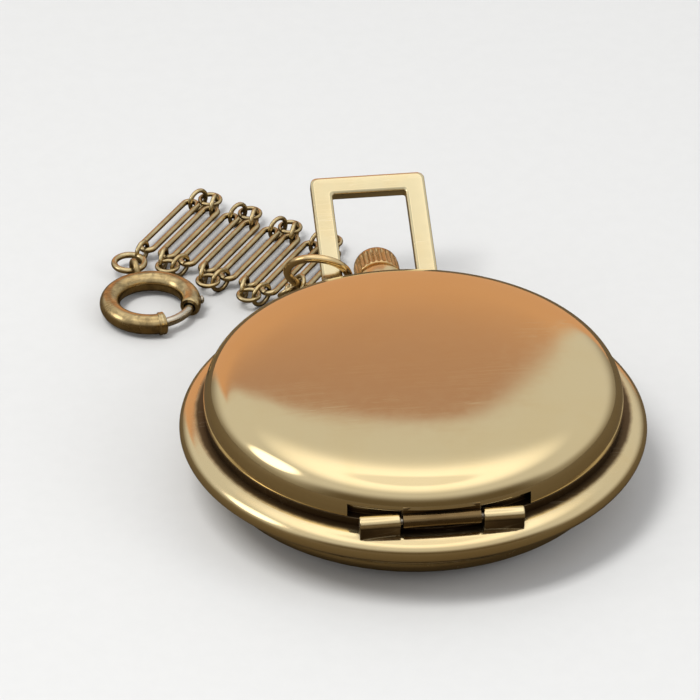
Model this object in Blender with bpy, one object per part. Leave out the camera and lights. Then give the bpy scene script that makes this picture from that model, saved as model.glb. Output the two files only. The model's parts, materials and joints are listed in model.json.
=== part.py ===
"""Full-hunter fob watch with a fetter-and-three chain, lying lid up.

World frame: metres, +Z up through the dial, +Y towards the bow (12 o'clock),
origin at the centre of the flat spot that the back rests on.
All dimensions in the script are in millimetres; to_object scales them.
"""

import math

import bmesh
import bpy
from mathutils import Matrix, Vector

for item in list(bpy.data.objects):
    bpy.data.objects.remove(item, do_unlink=True)

MM = 0.001
TURN = 2.0 * math.pi
CENTER = (0.0, 0.0)

# ---- case; LOW and HIGH are heights ----
RIM_R = 24.0            # outer radius of the rim round the band
BAND_R = 21.4           # outer radius of the band's wall and of the back
LID_R, LID_IN_R = 21.5, 20.9
BORE_R = 18.9           # bore that holds the movement
LIP_R = 20.4            # raised lip that the lid closes over
BAND_LOW, BAND_HIGH, LIP_HIGH = 3.85, 8.8, 9.55
RIM_Z = 6.4             # height of the rim, the stem and the bow's foot pins
LID_LOW, LID_HIGH = 8.85, 13.8
HINGE_Y, HINGE_Z = -BAND_R, 9.2
KNUCKLE_R, HINGE_PIN_R, HINGE_HOLE_R = 0.85, 0.35, 0.42
KNUCKLE_FOOT = 7.2      # height that the feet of the band's knuckles reach down to
CASE_STEPS = 48         # facets round the case

# ---- pendant, crown, bow; Y0 and Y1 are the near and far ends along the stem ----
COLLAR_R, COLLAR_Y0, COLLAR_Y1 = 3.05, 24.15, 26.3
NECK_R, PENDANT_BORE_R = 1.9, 0.75
CROWN_R, CROWN_Y0, CROWN_Y1 = 2.45, 27.45, 31.7
CROWN_BORE_R, CROWN_BORE_END = 0.62, 29.6
STEM_R, STEM_Y0, STEM_Y1 = 0.5, 11.9, 29.4
BOW_Y, BOW_TOP = 25.3, 38.9
BOW_X = 5.1             # half distance between the side bars
BOW_W, BOW_T = 2.2, 1.5
BOW_OUTER_R, BOW_INNER_R, BOW_CHAMFER = 0.75, 0.3, 0.3
BOW_FOOT_X = 3.22       # where the bottom bars end and the foot pins begin
BOW_PIN_R = 0.3
BOW_TILT = 25.0         # the bow leans up this far, because the chain lies under it

# ---- movement ----
PLATE_R, PLATE_LOW, PLATE_HIGH = 18.7, 5.6, 7.0
PLATE_WALL_IN_R = 18.1
PLATE_SLOT_HALF = 0.75  # half width of the slot for the stem
DIAL_R, DIAL_LOW, DIAL_HIGH = 18.6, 8.0, 8.35
SECONDS_HOLE_R = 0.45
BRIDGE_LOW, BRIDGE_HIGH = 2.65, 3.3
POST_R, POST_LOW, POST_HIGH = 0.7, 3.0, 5.55
ARBOR_LOW = 3.38
KEYLESS_LOW, KEYLESS_HIGH = 2.15, 2.5
BARREL_TEETH, CENTER_PINION, BARREL_MODULE = 48, 6, 1.0 / 3.0
CENTER_TEETH, THIRD_PINION, CENTER_MODULE = 48, 6, 0.24
THIRD_TEETH, FOURTH_PINION, THIRD_MODULE = 45, 6, 0.2067
FOURTH_TEETH, ESCAPE_PINION, FOURTH_MODULE = 60, 6, 0.145
ESCAPE_TEETH, ESCAPE_R = 15, 2.3
ESCAPE_SINE = 0.62      # sideways share of the way from the fourth wheel to the escape wheel
PALLET_REACH = 2.66     # from the escape wheel's axis to the pallet fork's
CANNON_TEETH, MINUTE_TEETH, MINUTE_PINION, HOUR_TEETH = 12, 36, 10, 40
MOTION_DISTANCE, MOTION_DEG = 3.6, 28
CROWN_TEETH, RATCHET_TEETH, KEYLESS_MODULE = 30, 45, 8.0 / 30.0
CROWN_WHEEL = (0.0, 11.6)
FOURTH = (0.0, -8.4)    # also the place of the seconds hand
BALANCE = (8.3, -8.9)
BALANCE_R = 5.0

# ---- chain ----
CHAIN_DEG = 56.0        # the fetters all lie along this direction
LINK_WIRE, RING_WIRE = 0.325, 0.25      # radii of the wires
FETTER_LONG, FETTER_HALF = 11.35, 0.81
SIDE_RING_R, MID_RING_R = 1.15, 1.05
CHAIN_Z = 1.42
FETTERS = 8
BOW_RING_R, BOW_RING_WIRE = 3.3, 0.45
JUMP_R, JUMP_WIRE = 1.65, 0.35
EYE_R, EYE_WIRE = 1.15, 0.35
BOLT_R, BOLT_TUBE, BOLT_BORE, BOLT_ROD = 4.4, 1.1, 0.66, 0.5
LINK_PLAY = 0.03        # half the play between two links
FUSED = 0.18            # how deep two small rings of a group bite


# ------------------------------------------------------------------ materials
FINISHES = {
    "polished_gold": dict(colour=(0.80, 0.66, 0.38), roughness=0.12, metallic=1.0),
    "aged_gold": dict(colour=(0.50, 0.39, 0.20), roughness=0.32, metallic=1.0),
    "brass": dict(colour=(0.72, 0.55, 0.25), roughness=0.28, metallic=1.0),
    "steel": dict(colour=(0.60, 0.60, 0.60), roughness=0.25, metallic=1.0),
    "blued_steel": dict(colour=(0.05, 0.07, 0.22), roughness=0.2, metallic=1.0),
    "nickel": dict(colour=(0.72, 0.70, 0.66), roughness=0.3, metallic=1.0),
    "dial_white": dict(colour=(0.85, 0.84, 0.80), roughness=0.35, metallic=0.0),
    "crystal": dict(colour=(0.95, 0.97, 0.97), roughness=0.03, metallic=0.0),
    "gasket": dict(colour=(0.03, 0.03, 0.03), roughness=0.6, metallic=0.0),
}


def material(name, colour, roughness, metallic):
    made = bpy.data.materials.new(name)
    made.use_nodes = True
    shader = made.node_tree.nodes["Principled BSDF"]
    shader.inputs["Base Color"].default_value = (*colour, 1.0)
    shader.inputs["Roughness"].default_value = roughness
    shader.inputs["Metallic"].default_value = metallic
    return made


# ------------------------------------------------------------------ outlines
def polar(radius, angle, centre=CENTER):
    return (centre[0] + radius * math.cos(angle), centre[1] + radius * math.sin(angle))


def circle(centre, radius, count, start=0.0):
    return [polar(radius, start + TURN * i / count, centre) for i in range(count)]


def arc(radius, start_deg, end_deg, count, centre=CENTER):
    """count + 1 points along an arc."""
    step = (end_deg - start_deg) / count
    return [polar(radius, math.radians(start_deg + step * i), centre) for i in range(count + 1)]


def hull(points):
    """The convex outline round a set of points."""
    points = sorted(set(points))

    def turns_left(a, b, c):
        return (b[0] - a[0]) * (c[1] - a[1]) > (b[1] - a[1]) * (c[0] - a[0])

    def half(row):
        kept = []
        for p in row:
            while len(kept) > 1 and not turns_left(kept[-2], kept[-1], p):
                kept.pop()
            kept.append(p)
        return kept[:-1]

    return half(points) + half(points[::-1])


def bosses(places, radii, count=8):
    """The convex outline round a boss at each place."""
    return hull([q for p, r in zip(places, radii) for q in circle(p, r, count, 0.2)])


def gear(teeth, module, phase=0.0, pinion=False, radius=None):
    """An outline of teeth: pointed on a wheel, flat on a pinion. phase is the first tooth's angle."""
    radius = radius or module * teeth / 2
    tip, root = radius + 0.6 * module, radius - 1.1 * module
    pitch = TURN / teeth
    if pinion:
        tooth = [(tip, -0.10), (tip, 0.10), (root, 0.32), (root, 0.68)]
    else:
        tooth = [(tip, 0.0), (root, 0.5)]
    return [polar(r, phase + pitch * (i + share)) for i in range(teeth) for r, share in tooth]


# ------------------------------------------------------------------ shapes
def lathe(profile, steps=CASE_STEPS):
    """A profile of (radius, height) turned about Z, solid if both ends are on the axis."""
    bm = bmesh.new()
    points = [bm.verts.new((r, 0.0, z)) for r, z in profile]
    count = len(points)
    on_axis = profile[0][0] == 0 and profile[-1][0] == 0
    edges = [
        bm.edges.new((points[i], points[(i + 1) % count]))
        for i in range(count - 1 if on_axis else count)
    ]
    bmesh.ops.spin(
        bm, geom=points + edges, cent=(0, 0, 0), axis=(0, 0, 1), dvec=(0, 0, 0),
        angle=TURN, steps=steps, use_merge=True, use_duplicate=False,
    )
    bmesh.ops.remove_doubles(bm, verts=bm.verts, dist=1e-4)
    bmesh.ops.recalc_face_normals(bm, faces=bm.faces)
    return bm


def prism(outline, z0, z1, holes=()):
    """A flat outline with holes, extruded from z0 to z1."""
    bm = bmesh.new()
    edges = []
    for loop in (outline, *holes):
        corners = [bm.verts.new((x, y, z0)) for x, y in loop]
        edges += [
            bm.edges.new((corners[i], corners[(i + 1) % len(corners)]))
            for i in range(len(corners))
        ]
    bmesh.ops.triangle_fill(bm, use_beauty=True, use_dissolve=False, edges=edges)
    made = bmesh.ops.extrude_face_region(bm, geom=list(bm.faces))
    bmesh.ops.translate(
        bm, verts=[v for v in made["geom"] if isinstance(v, bmesh.types.BMVert)],
        vec=(0, 0, z1 - z0),
    )
    bmesh.ops.recalc_face_normals(bm, faces=bm.faces)
    return bm


def rod(radius, z0, z1, count=12):
    return prism(circle(CENTER, radius, count), z0, z1)


def block(x_range, y_range, z_range):
    (x0, x1), (y0, y1) = x_range, y_range
    return prism([(x0, y0), (x1, y0), (x1, y1), (x0, y1)], *z_range)


def bridge_loops(bm, a, b):
    """Quads between two closed loops of vertices."""
    for j in range(len(a)):
        k = (j + 1) % len(a)
        bm.faces.new((a[j], a[k], b[k], b[j]))


def sweep(sections, closed=False):
    """Skin a list of sections, each a list of 3-D points, and cap the ends of an open one."""
    bm = bmesh.new()
    loops = [[bm.verts.new(p) for p in section] for section in sections]
    count = len(loops)
    for i in range(count if closed else count - 1):
        bridge_loops(bm, loops[i], loops[(i + 1) % count])
    if not closed:
        bm.faces.new(loops[0])
        bm.faces.new(loops[-1])
    bmesh.ops.recalc_face_normals(bm, faces=bm.faces)
    return bm


def round_section(middle, outward, normal, radius, sides):
    angles = [TURN * (j + 0.5) / sides for j in range(sides)]
    return [middle + radius * (math.cos(a) * outward + math.sin(a) * normal) for a in angles]


def wire(path, normal, radius, sides, closed=True):
    """A round wire along a path that lies in the plane with this normal."""
    sections = []
    count = len(path)
    for i, p in enumerate(path):
        if closed:
            along = path[(i + 1) % count] - path[i - 1]
        else:
            along = path[min(i + 1, count - 1)] - path[max(i - 1, 0)]
        outward = along.normalized().cross(normal).normalized()
        sections.append(round_section(p, outward, normal, radius, sides))
    return sweep(sections, closed)


def leaf(radius, thick, start_deg, end_deg, z0, z1, count):
    """A flat strip curved about the Z axis."""
    outer = arc(radius + thick, start_deg, end_deg, count)
    return prism(outer + arc(radius, start_deg, end_deg, count)[::-1], z0, z1)


def spiral(r0, r1, turns, per_turn, thick, z0, z1):
    """A flat strip wound in a spiral from radius r0 out to r1."""
    count = turns * per_turn
    rows = []
    for i in range(count + 1):
        angle = TURN * i / per_turn
        middle = r0 + (r1 - r0) * i / count
        inner, outer = (polar(middle + side * thick / 2, angle) for side in (-1, 1))
        rows.append([(*inner, z0), (*outer, z0), (*outer, z1), (*inner, z1)])
    return sweep(rows)


def moved(bm, matrix):
    bmesh.ops.transform(bm, matrix=matrix, verts=bm.verts)
    bmesh.ops.recalc_face_normals(bm, faces=bm.faces)
    return bm


def placed(bm, place):
    return moved(bm, Matrix.Translation((*place, 0)))


def along_stem(bm):
    """Lay a shape made about Z along +Y, on the axis of the stem."""
    return moved(bm, Matrix.Translation((0, 0, RIM_Z)) @ Matrix.Rotation(-math.pi / 2, 4, "X"))


def along_x(bm, y, z):
    return moved(bm, Matrix.Translation((0, y, z)) @ Matrix.Rotation(math.pi / 2, 4, "Y"))


# ------------------------------------------------------------------ objects
def to_object(name, bm, origin):
    bmesh.ops.translate(bm, verts=bm.verts, vec=-Vector(origin))
    bmesh.ops.scale(bm, verts=bm.verts, vec=(MM, MM, MM))
    mesh = bpy.data.meshes.new(name)
    bm.to_mesh(mesh)
    bm.free()
    made = bpy.data.objects.new(name, mesh)
    made.location = Vector(origin) * MM
    bpy.context.scene.collection.objects.link(made)
    return made


def piece(name, finish, base, join=(), cut=(), origin=(0.0, 0.0, 0.0)):
    """One named solid: a base shape, shapes joined to it, and shapes cut from it."""
    made = to_object(name, base, origin)
    made.data.materials.append(material(f"{name}_{finish}", **FINISHES[finish]))
    for kind, shapes in (("UNION", join), ("DIFFERENCE", cut)):
        for i, shape in enumerate(shapes):
            helper = to_object(f"{name}_{kind.lower()}_{i}", shape, origin)
            helper.hide_render = True
            helper.display_type = "WIRE"
            change = made.modifiers.new(f"{kind.lower()}_{i}", "BOOLEAN")
            change.operation = kind
            change.object = helper
            change.solver = "EXACT"
    made.data.shade_smooth()
    made.data.set_sharp_from_angle(angle=math.radians(35))


# ------------------------------------------------------------------ case
# Profiles are (radius, height).
BAND_PROFILE = [
    (BORE_R, BAND_LOW), (BAND_R, BAND_LOW), (BAND_R, 4.9), (22.9, 5.05), (23.75, 5.6),
    (RIM_R, RIM_Z), (23.75, 7.2), (22.9, 7.75), (BAND_R, 7.95), (BAND_R, BAND_HIGH),
    (LIP_R, BAND_HIGH), (LIP_R, LIP_HIGH), (BORE_R, LIP_HIGH),
]
BACK_PROFILE = [
    (0, 0), (9.0, 0), (14.0, 0.25), (18.5, 1.05), (20.7, 2.3), (BAND_R, 3.8),
    (20.8, 3.8), (20.0, 2.6), (18.2, 1.65), (13.8, 0.95), (9.0, 0.7), (0, 0.7),
]
LID_PROFILE = [
    (0, 13.25), (10.0, 13.15), (16.0, 12.85), (18.6, 12.4), (19.9, 11.7),
    (20.65, 10.8), (LID_IN_R, 9.8), (LID_IN_R, LID_LOW), (LID_R, LID_LOW),
    (LID_R, 9.9), (21.2, 11.1), (20.4, 12.15), (19.0, 12.95), (16.0, 13.4),
    (10.0, 13.7), (0, LID_HIGH),
]
BEZEL_PROFILE = [
    (16.9, 9.65), (20.3, 9.65), (20.3, 10.1), (19.6, 10.65), (17.4, 10.65), (17.4, 9.8),
    (16.9, 9.8),
]
CRYSTAL_PROFILE = [
    (0, 11.4), (9.0, 11.15), (14.0, 10.6), (16.6, 9.85), (17.3, 9.85), (17.3, 10.4),
    (14.0, 11.2), (9.0, 11.75), (0, 12.0),
]


def knuckle(x0, x1):
    """A hinge knuckle along X with a straight-sided foot."""
    profile = [(HINGE_Y - KNUCKLE_R, KNUCKLE_FOOT), (HINGE_Y + KNUCKLE_R, KNUCKLE_FOOT)]
    profile += arc(KNUCKLE_R, 0, 180, 6, (HINGE_Y, HINGE_Z))
    return sweep([[(x, y, z) for y, z in profile] for x in (x0, x1)])


def hinge_rod(radius, half_length, count=10):
    return along_x(rod(radius, -half_length, half_length, count), HINGE_Y, HINGE_Z)


piece(
    "case_band", "polished_gold", lathe(BAND_PROFILE),
    join=[knuckle(-8.2, -4.2), knuckle(4.2, 8.2)],
    cut=[
        block((-4.1, 4.1), (-22.8, -20.42), (8.2, HINGE_Z)),    # room for the lid's knuckle
        hinge_rod(HINGE_HOLE_R, 9.0),
        along_stem(rod(2.0, 17.5, 25.0, 16)),                   # hole for the pendant
        block((-1.8, 1.8), (18.0, 20.9), (8.84, 9.36)),         # slot for the lid catch
    ],
)
piece("back_cover", "polished_gold", lathe(BACK_PROFILE))
piece(
    "front_cover", "polished_gold", lathe(LID_PROFILE),
    join=[
        hinge_rod(KNUCKLE_R, 3.9, 12),
        block((-3.85, 3.85), (-21.36, -20.76), (HINGE_Z, 10.7)),    # web above the knuckle
    ],
    cut=[
        # room for the band's two knuckles
        block((-9.2, -3.95), (-23.0, -18.6), (8.0, 10.35)),
        block((3.95, 9.2), (-23.0, -18.6), (8.0, 10.35)),
        hinge_rod(HINGE_HOLE_R, 9.5),
    ],
    origin=(0, HINGE_Y, HINGE_Z),
)
piece("lid_hinge_pin", "steel", hinge_rod(HINGE_PIN_R, 8.1))
piece("lid_lift_spring", "steel", leaf(18.3, 0.4, 232, 308, 8.5, 9.3, 8))

CATCH_LOW, CATCH_HIGH = 8.95, 9.3
piece(
    "lid_catch", "steel", leaf(17.85, 0.4, 66, 114, CATCH_LOW, CATCH_HIGH, 7),
    join=[block((-1.4, 1.4), (17.95, 20.75), (CATCH_LOW, CATCH_HIGH))],
)
piece("bezel", "polished_gold", lathe(BEZEL_PROFILE, 40))
piece("crystal", "crystal", lathe(CRYSTAL_PROFILE, 32))

# ------------------------------------------------------------------ pendant, crown, bow
# Profiles are (radius, distance along the stem).
PENDANT_PROFILE = [
    (PENDANT_BORE_R, 19.1), (NECK_R, 19.1), (NECK_R, COLLAR_Y0), (2.7, COLLAR_Y0),
    (COLLAR_R, COLLAR_Y0 + 0.35), (COLLAR_R, COLLAR_Y1 - 0.3), (2.7, COLLAR_Y1),
    (PENDANT_BORE_R, COLLAR_Y1),
]
CROWN_PROFILE = [
    (0, CROWN_BORE_END), (CROWN_BORE_R, CROWN_BORE_END), (CROWN_BORE_R, CROWN_Y0),
    (2.05, CROWN_Y0), (CROWN_R, 27.95), (CROWN_R, 29.7), (2.1, 30.8), (1.2, 31.45),
    (0, CROWN_Y1),
]
piece(
    "pendant", "polished_gold", along_stem(lathe(PENDANT_PROFILE, 20)),
    # sockets for the bow's foot pins
    cut=[along_x(rod(0.5, *ends), BOW_Y, RIM_Z) for ends in ((2.35, 4.0), (-4.0, -2.35))],
)


def bow_section(inner, outer):
    """A chamfered section between a point on the bow's inner edge and one on its outer edge."""
    inner, outer = Vector((*inner, RIM_Z)), Vector((*outer, RIM_Z))
    middle, across = (inner + outer) / 2, (inner - outer) / 2
    inset = 1.0 - BOW_CHAMFER / (BOW_W / 2)
    top = BOW_T / 2
    fall = top - BOW_CHAMFER * 0.7
    return [
        middle + across * share + Vector((0, 0, height))
        for share, height in (
            (inset, top), (1, fall), (1, -fall), (inset, -top),
            (-inset, -top), (-1, -fall), (-1, fall), (-inset, top),
        )
    ]


def bow_sections():
    """Half the bow from its left foot pin round to the middle of the top bar, then mirrored."""
    half = BOW_W / 2
    left, right = -BOW_X - half, -BOW_X + half
    low, high = BOW_Y - half, BOW_TOP + half
    rows = []
    for x in (-2.6, -3.2):      # the foot pin
        angles = [TURN * (1.5 - j) / 8 for j in range(8)]
        rows.append([Vector((x, *polar(BOW_PIN_R, a, (BOW_Y, RIM_Z)))) for a in angles])
    rows.append(bow_section((-BOW_FOOT_X, low + BOW_W), (-BOW_FOOT_X, low)))
    # corners: start angle, centre of the inner arc, centre of the outer arc
    inner_x, outer_x = right + BOW_INNER_R, left + BOW_OUTER_R
    corners = (
        (-90, (inner_x, low + BOW_W + BOW_INNER_R), (outer_x, low + BOW_OUTER_R)),
        (180, (inner_x, high - BOW_W - BOW_INNER_R), (outer_x, high - BOW_OUTER_R)),
    )
    for start, inner_centre, outer_centre in corners:
        inner = arc(BOW_INNER_R, start, start - 90, 3, inner_centre)
        outer = arc(BOW_OUTER_R, start, start - 90, 3, outer_centre)
        rows += [bow_section(*pair) for pair in zip(inner, outer)]
    return rows + [[Vector((-p.x, p.y, p.z)) for p in row] for row in reversed(rows)]


BOW_PIVOT = Vector((0, BOW_Y, RIM_Z))
piece(
    "bow", "polished_gold",
    moved(
        sweep(bow_sections()),
        Matrix.Translation(BOW_PIVOT)
        @ Matrix.Rotation(math.radians(BOW_TILT), 4, "X")
        @ Matrix.Translation(-BOW_PIVOT),
    ),
    origin=(0, BOW_Y, RIM_Z),
)
piece(
    "crown", "polished_gold", along_stem(lathe(CROWN_PROFILE, 20)),
    origin=(0, CROWN_Y0, RIM_Z),
)
GASKET_PROFILE = [(0.7, 27.0), (1.9, 27.0), (1.9, 27.3), (0.7, 27.3)]
piece("crown_gasket", "gasket", along_stem(lathe(GASKET_PROFILE, 16)))
piece(
    "winding_stem", "steel", along_stem(rod(STEM_R, STEM_Y0, STEM_Y1, 10)),
    origin=(0, CROWN_Y0, RIM_Z),
)


# ------------------------------------------------------------------ places and phases of the wheels
def spacing(module, teeth, other_teeth):
    """The distance between the axes of two meshing gears."""
    return module * (teeth + other_teeth) / 2


def where_two_meet(a, reach_a, b, reach_b):
    """The point at these distances from a and b, to the right of the line from a to b."""
    dx, dy = b[0] - a[0], b[1] - a[1]
    apart = math.hypot(dx, dy)
    along = (reach_a * reach_a - reach_b * reach_b + apart * apart) / (2 * apart)
    aside = -math.sqrt(reach_a * reach_a - along * along)
    return (
        a[0] + (along * dx - aside * dy) / apart,
        a[1] + (along * dy + aside * dx) / apart,
    )


def meshed(phase, teeth, place, other, other_teeth):
    """The phase of the gear at other, so that it meets the gaps of the gear at place."""
    toward = math.atan2(other[1] - place[1], other[0] - place[0])
    return toward + math.pi - (teeth * (phase - toward) + math.pi) / other_teeth


THIRD = where_two_meet(
    CENTER, spacing(CENTER_MODULE, CENTER_TEETH, THIRD_PINION),
    FOURTH, spacing(THIRD_MODULE, THIRD_TEETH, FOURTH_PINION),
)
BARREL = where_two_meet(
    CENTER, spacing(BARREL_MODULE, BARREL_TEETH, CENTER_PINION),
    CROWN_WHEEL, spacing(KEYLESS_MODULE, CROWN_TEETH, RATCHET_TEETH),
)
ESCAPE = polar(
    spacing(FOURTH_MODULE, FOURTH_TEETH, ESCAPE_PINION), -math.acos(ESCAPE_SINE), FOURTH,
)
LEVER_ANGLE = math.atan2(BALANCE[1] - ESCAPE[1], BALANCE[0] - ESCAPE[0])
PALLET = polar(PALLET_REACH, LEVER_ANGLE, ESCAPE)

CENTER_PHASE = 0.0
THIRD_PHASE = meshed(CENTER_PHASE, CENTER_TEETH, CENTER, THIRD, THIRD_PINION)
FOURTH_PHASE = meshed(THIRD_PHASE, THIRD_TEETH, THIRD, FOURTH, FOURTH_PINION)
ESCAPE_PHASE = meshed(FOURTH_PHASE, FOURTH_TEETH, FOURTH, ESCAPE, ESCAPE_PINION)
BARREL_PHASE = meshed(CENTER_PHASE, CENTER_PINION, CENTER, BARREL, BARREL_TEETH)
CROWN_PHASE = 0.0
RATCHET_PHASE = meshed(CROWN_PHASE, CROWN_TEETH, CROWN_WHEEL, BARREL, RATCHET_TEETH)


# ------------------------------------------------------------------ plate and bridges
def open_rim(radius, count):
    """A circle round the plate, open at 12 o'clock by the width of the stem slot."""
    half = math.asin(PLATE_SLOT_HALF / radius)
    start, span = math.pi / 2 + half, TURN - 2 * half
    return [polar(radius, start + span * i / count) for i in range(count + 1)]


# (x, y) of the slot from its right side round to its left, wide where the winding pinion turns
STEM_SLOT = [
    (PLATE_SLOT_HALF, 13.6), (1.8, 13.6), (1.8, 12.1), (PLATE_SLOT_HALF, 12.1),
    (PLATE_SLOT_HALF, 11.0), (-PLATE_SLOT_HALF, 11.0), (-PLATE_SLOT_HALF, 12.1),
    (-1.8, 12.1), (-1.8, 13.6), (-PLATE_SLOT_HALF, 13.6),
]
plate_rim = open_rim(PLATE_R, 48)
piece(
    "main_plate", "nickel",
    prism(
        plate_rim + STEM_SLOT, PLATE_LOW, PLATE_HIGH,
        [circle(CENTER, 0.6, 10), circle(FOURTH, SECONDS_HOLE_R, 8)],
    ),
    # wall that reaches up towards the dial
    join=[prism(plate_rim + open_rim(PLATE_WALL_IN_R, 32)[::-1], 6.8, 7.95)],
)


def posts(places):
    return [placed(rod(POST_R, POST_LOW, POST_HIGH, 8), place) for place in places]


piece(
    "barrel_bridge", "nickel",
    prism(
        arc(17.0, 2, 112, 10) + [(-5.0, 9.0), (-1.0, 3.2), (3.2, 1.0)],
        BRIDGE_LOW, BRIDGE_HIGH, [circle(BARREL, 0.75, 10), circle(CROWN_WHEEL, 1.8, 12)],
    ),
    join=posts([(15.9, 1.4), (-4.6, 15.0), (8.4, 14.0)]),
)

TRAIN_POSTS = [(-13.0, -8.0), (-5.5, -14.3), (-10.6, 1.6)]
train_outline = bosses(
    [CENTER, THIRD, FOURTH, ESCAPE, *TRAIN_POSTS], [1.6, 1.6, 1.5, 1.1, 1.2, 1.2, 1.2],
)
piece(
    "train_bridge", "nickel", prism(train_outline, BRIDGE_LOW, BRIDGE_HIGH),
    join=posts(TRAIN_POSTS),
)

COCK_FOOT = (13.6, -5.2)
piece(
    "balance_cock", "nickel", prism(bosses([BALANCE, COCK_FOOT], [1.3, 1.5], 10), 1.95, 2.7),
    join=[placed(rod(1.05, 2.4, POST_HIGH, 10), COCK_FOOT)],
)

pallet_feet = [polar(side * 2.2, LEVER_ANGLE + math.pi / 2, PALLET) for side in (1, -1)]
piece(
    "pallet_bridge", "nickel", prism(bosses(pallet_feet, [0.55, 0.55]), 4.06, 4.34),
    join=[placed(rod(0.4, 4.2, POST_HIGH, 8), foot) for foot in pallet_feet],
)

REGULATOR_TIP = (BALANCE[0] - 2.4, BALANCE[1] - 2.0)
piece(
    "regulator", "steel",
    prism(bosses([BALANCE, REGULATOR_TIP], [0.95, 0.3]), 1.62, 1.88, [circle(BALANCE, 0.4, 8)]),
    origin=(*BALANCE, 1.75),
)

# ------------------------------------------------------------------ barrel and winding work
# Profiles are (radius, height).
DRUM_PROFILE = [(7.0, 3.95), (7.4, 3.95), (7.4, 5.15), (7.0, 5.15)]
ARBOR_PROFILE = [
    (0, 1.95), (0.58, 1.95), (0.58, 3.9), (1.15, 4.0), (1.15, 4.9), (0.58, 4.95),
    (0.58, 5.5), (0, 5.5),
]
barrel_outline = gear(BARREL_TEETH, BARREL_MODULE, BARREL_PHASE)
piece(
    "barrel", "brass",
    placed(prism(barrel_outline, 5.0, 5.35, [circle(CENTER, 0.75, 10)]), BARREL),
    join=[placed(lathe(DRUM_PROFILE, 28), BARREL)],
    origin=(*BARREL, 0),
)
piece(
    "mainspring", "steel", placed(spiral(2.0, 6.6, 3, 12, 0.22, 4.1, 4.85), BARREL),
    origin=(*BARREL, 0),
)
piece(
    "barrel_arbor", "steel", placed(lathe(ARBOR_PROFILE, 10), BARREL),
    origin=(*BARREL, 0),
)

ratchet_outline = gear(RATCHET_TEETH, KEYLESS_MODULE, RATCHET_PHASE)
ratchet_hole = circle(CENTER, 0.66, 10)
piece(
    "ratchet_wheel", "steel",
    placed(prism(ratchet_outline, KEYLESS_LOW, KEYLESS_HIGH, [ratchet_hole]), BARREL),
    origin=(*BARREL, 0),
)

crown_outline = gear(CROWN_TEETH, KEYLESS_MODULE, CROWN_PHASE)
piece(
    "crown_wheel", "steel",
    placed(prism(crown_outline, KEYLESS_LOW, KEYLESS_HIGH), CROWN_WHEEL),
    join=[placed(rod(1.6, 2.3, 4.75, 12), CROWN_WHEEL)],
    origin=(*CROWN_WHEEL, 0),
)

winding_outline = gear(12, 0.22, TURN / 24, pinion=True, radius=1.4)
piece(
    "winding_pinion", "steel",
    along_stem(prism(winding_outline, 12.4, 13.3, [circle(CENTER, 0.62, 10)])),
    origin=(0, 12.8, RIM_Z),
)

click_pivot = polar(8.0, math.radians(96), BARREL)
click_tip = [polar(r, math.radians(deg), BARREL) for r, deg in ((6.35, 70), (6.9, 67))]
piece(
    "click", "steel",
    prism(
        hull(circle(click_pivot, 0.75, 8) + click_tip),
        KEYLESS_LOW, KEYLESS_HIGH, [circle(click_pivot, 0.3, 6)],
    ),
    origin=(*click_pivot, 2.3),
)


# ------------------------------------------------------------------ going train
def train_wheel(name, finish, place, wheel, wheel_z, arbor, pinion, pinion_z):
    """A wheel and a pinion on one arbor. arbor is (radius, low, high, sides)."""
    piece(
        name, finish, placed(prism(wheel, *wheel_z), place),
        join=[placed(rod(*arbor), place), placed(prism(pinion, *pinion_z), place)],
        origin=(*place, 0),
    )


train_wheel(
    "center_wheel", "brass", CENTER,
    wheel=gear(CENTER_TEETH, CENTER_MODULE, CENTER_PHASE), wheel_z=(3.5, 3.7),
    arbor=(0.33, ARBOR_LOW, 9.45, 10),
    pinion=gear(CENTER_PINION, BARREL_MODULE, CENTER_PHASE, pinion=True), pinion_z=(4.9, 5.45),
)
train_wheel(
    "third_wheel", "brass", THIRD,
    wheel=gear(THIRD_TEETH, THIRD_MODULE, THIRD_PHASE), wheel_z=(4.3, 4.45),
    arbor=(0.24, ARBOR_LOW, 5.52, 8),
    pinion=gear(THIRD_PINION, CENTER_MODULE, THIRD_PHASE, pinion=True), pinion_z=(3.44, 3.76),
)
train_wheel(
    "fourth_wheel", "brass", FOURTH,
    wheel=gear(FOURTH_TEETH, FOURTH_MODULE, FOURTH_PHASE), wheel_z=(3.86, 4.0),
    arbor=(0.22, ARBOR_LOW, 8.4, 8),
    pinion=gear(FOURTH_PINION, THIRD_MODULE, FOURTH_PHASE, pinion=True), pinion_z=(4.2, 4.55),
)

ESCAPE_TOOTH = [(ESCAPE_R, 0.0), (1.75, 0.05), (1.7, 0.24)]     # (radius, angle past the tip)
escape_outline = [
    polar(r, ESCAPE_PHASE + TURN * i / ESCAPE_TEETH + past)
    for i in range(ESCAPE_TEETH) for r, past in ESCAPE_TOOTH
]
train_wheel(
    "escape_wheel", "steel", ESCAPE,
    wheel=escape_outline, wheel_z=(4.55, 4.75),
    arbor=(0.16, 3.4, 5.5, 8),
    pinion=gear(ESCAPE_PINION, FOURTH_MODULE, ESCAPE_PHASE, pinion=True), pinion_z=(3.8, 4.06),
)

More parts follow.
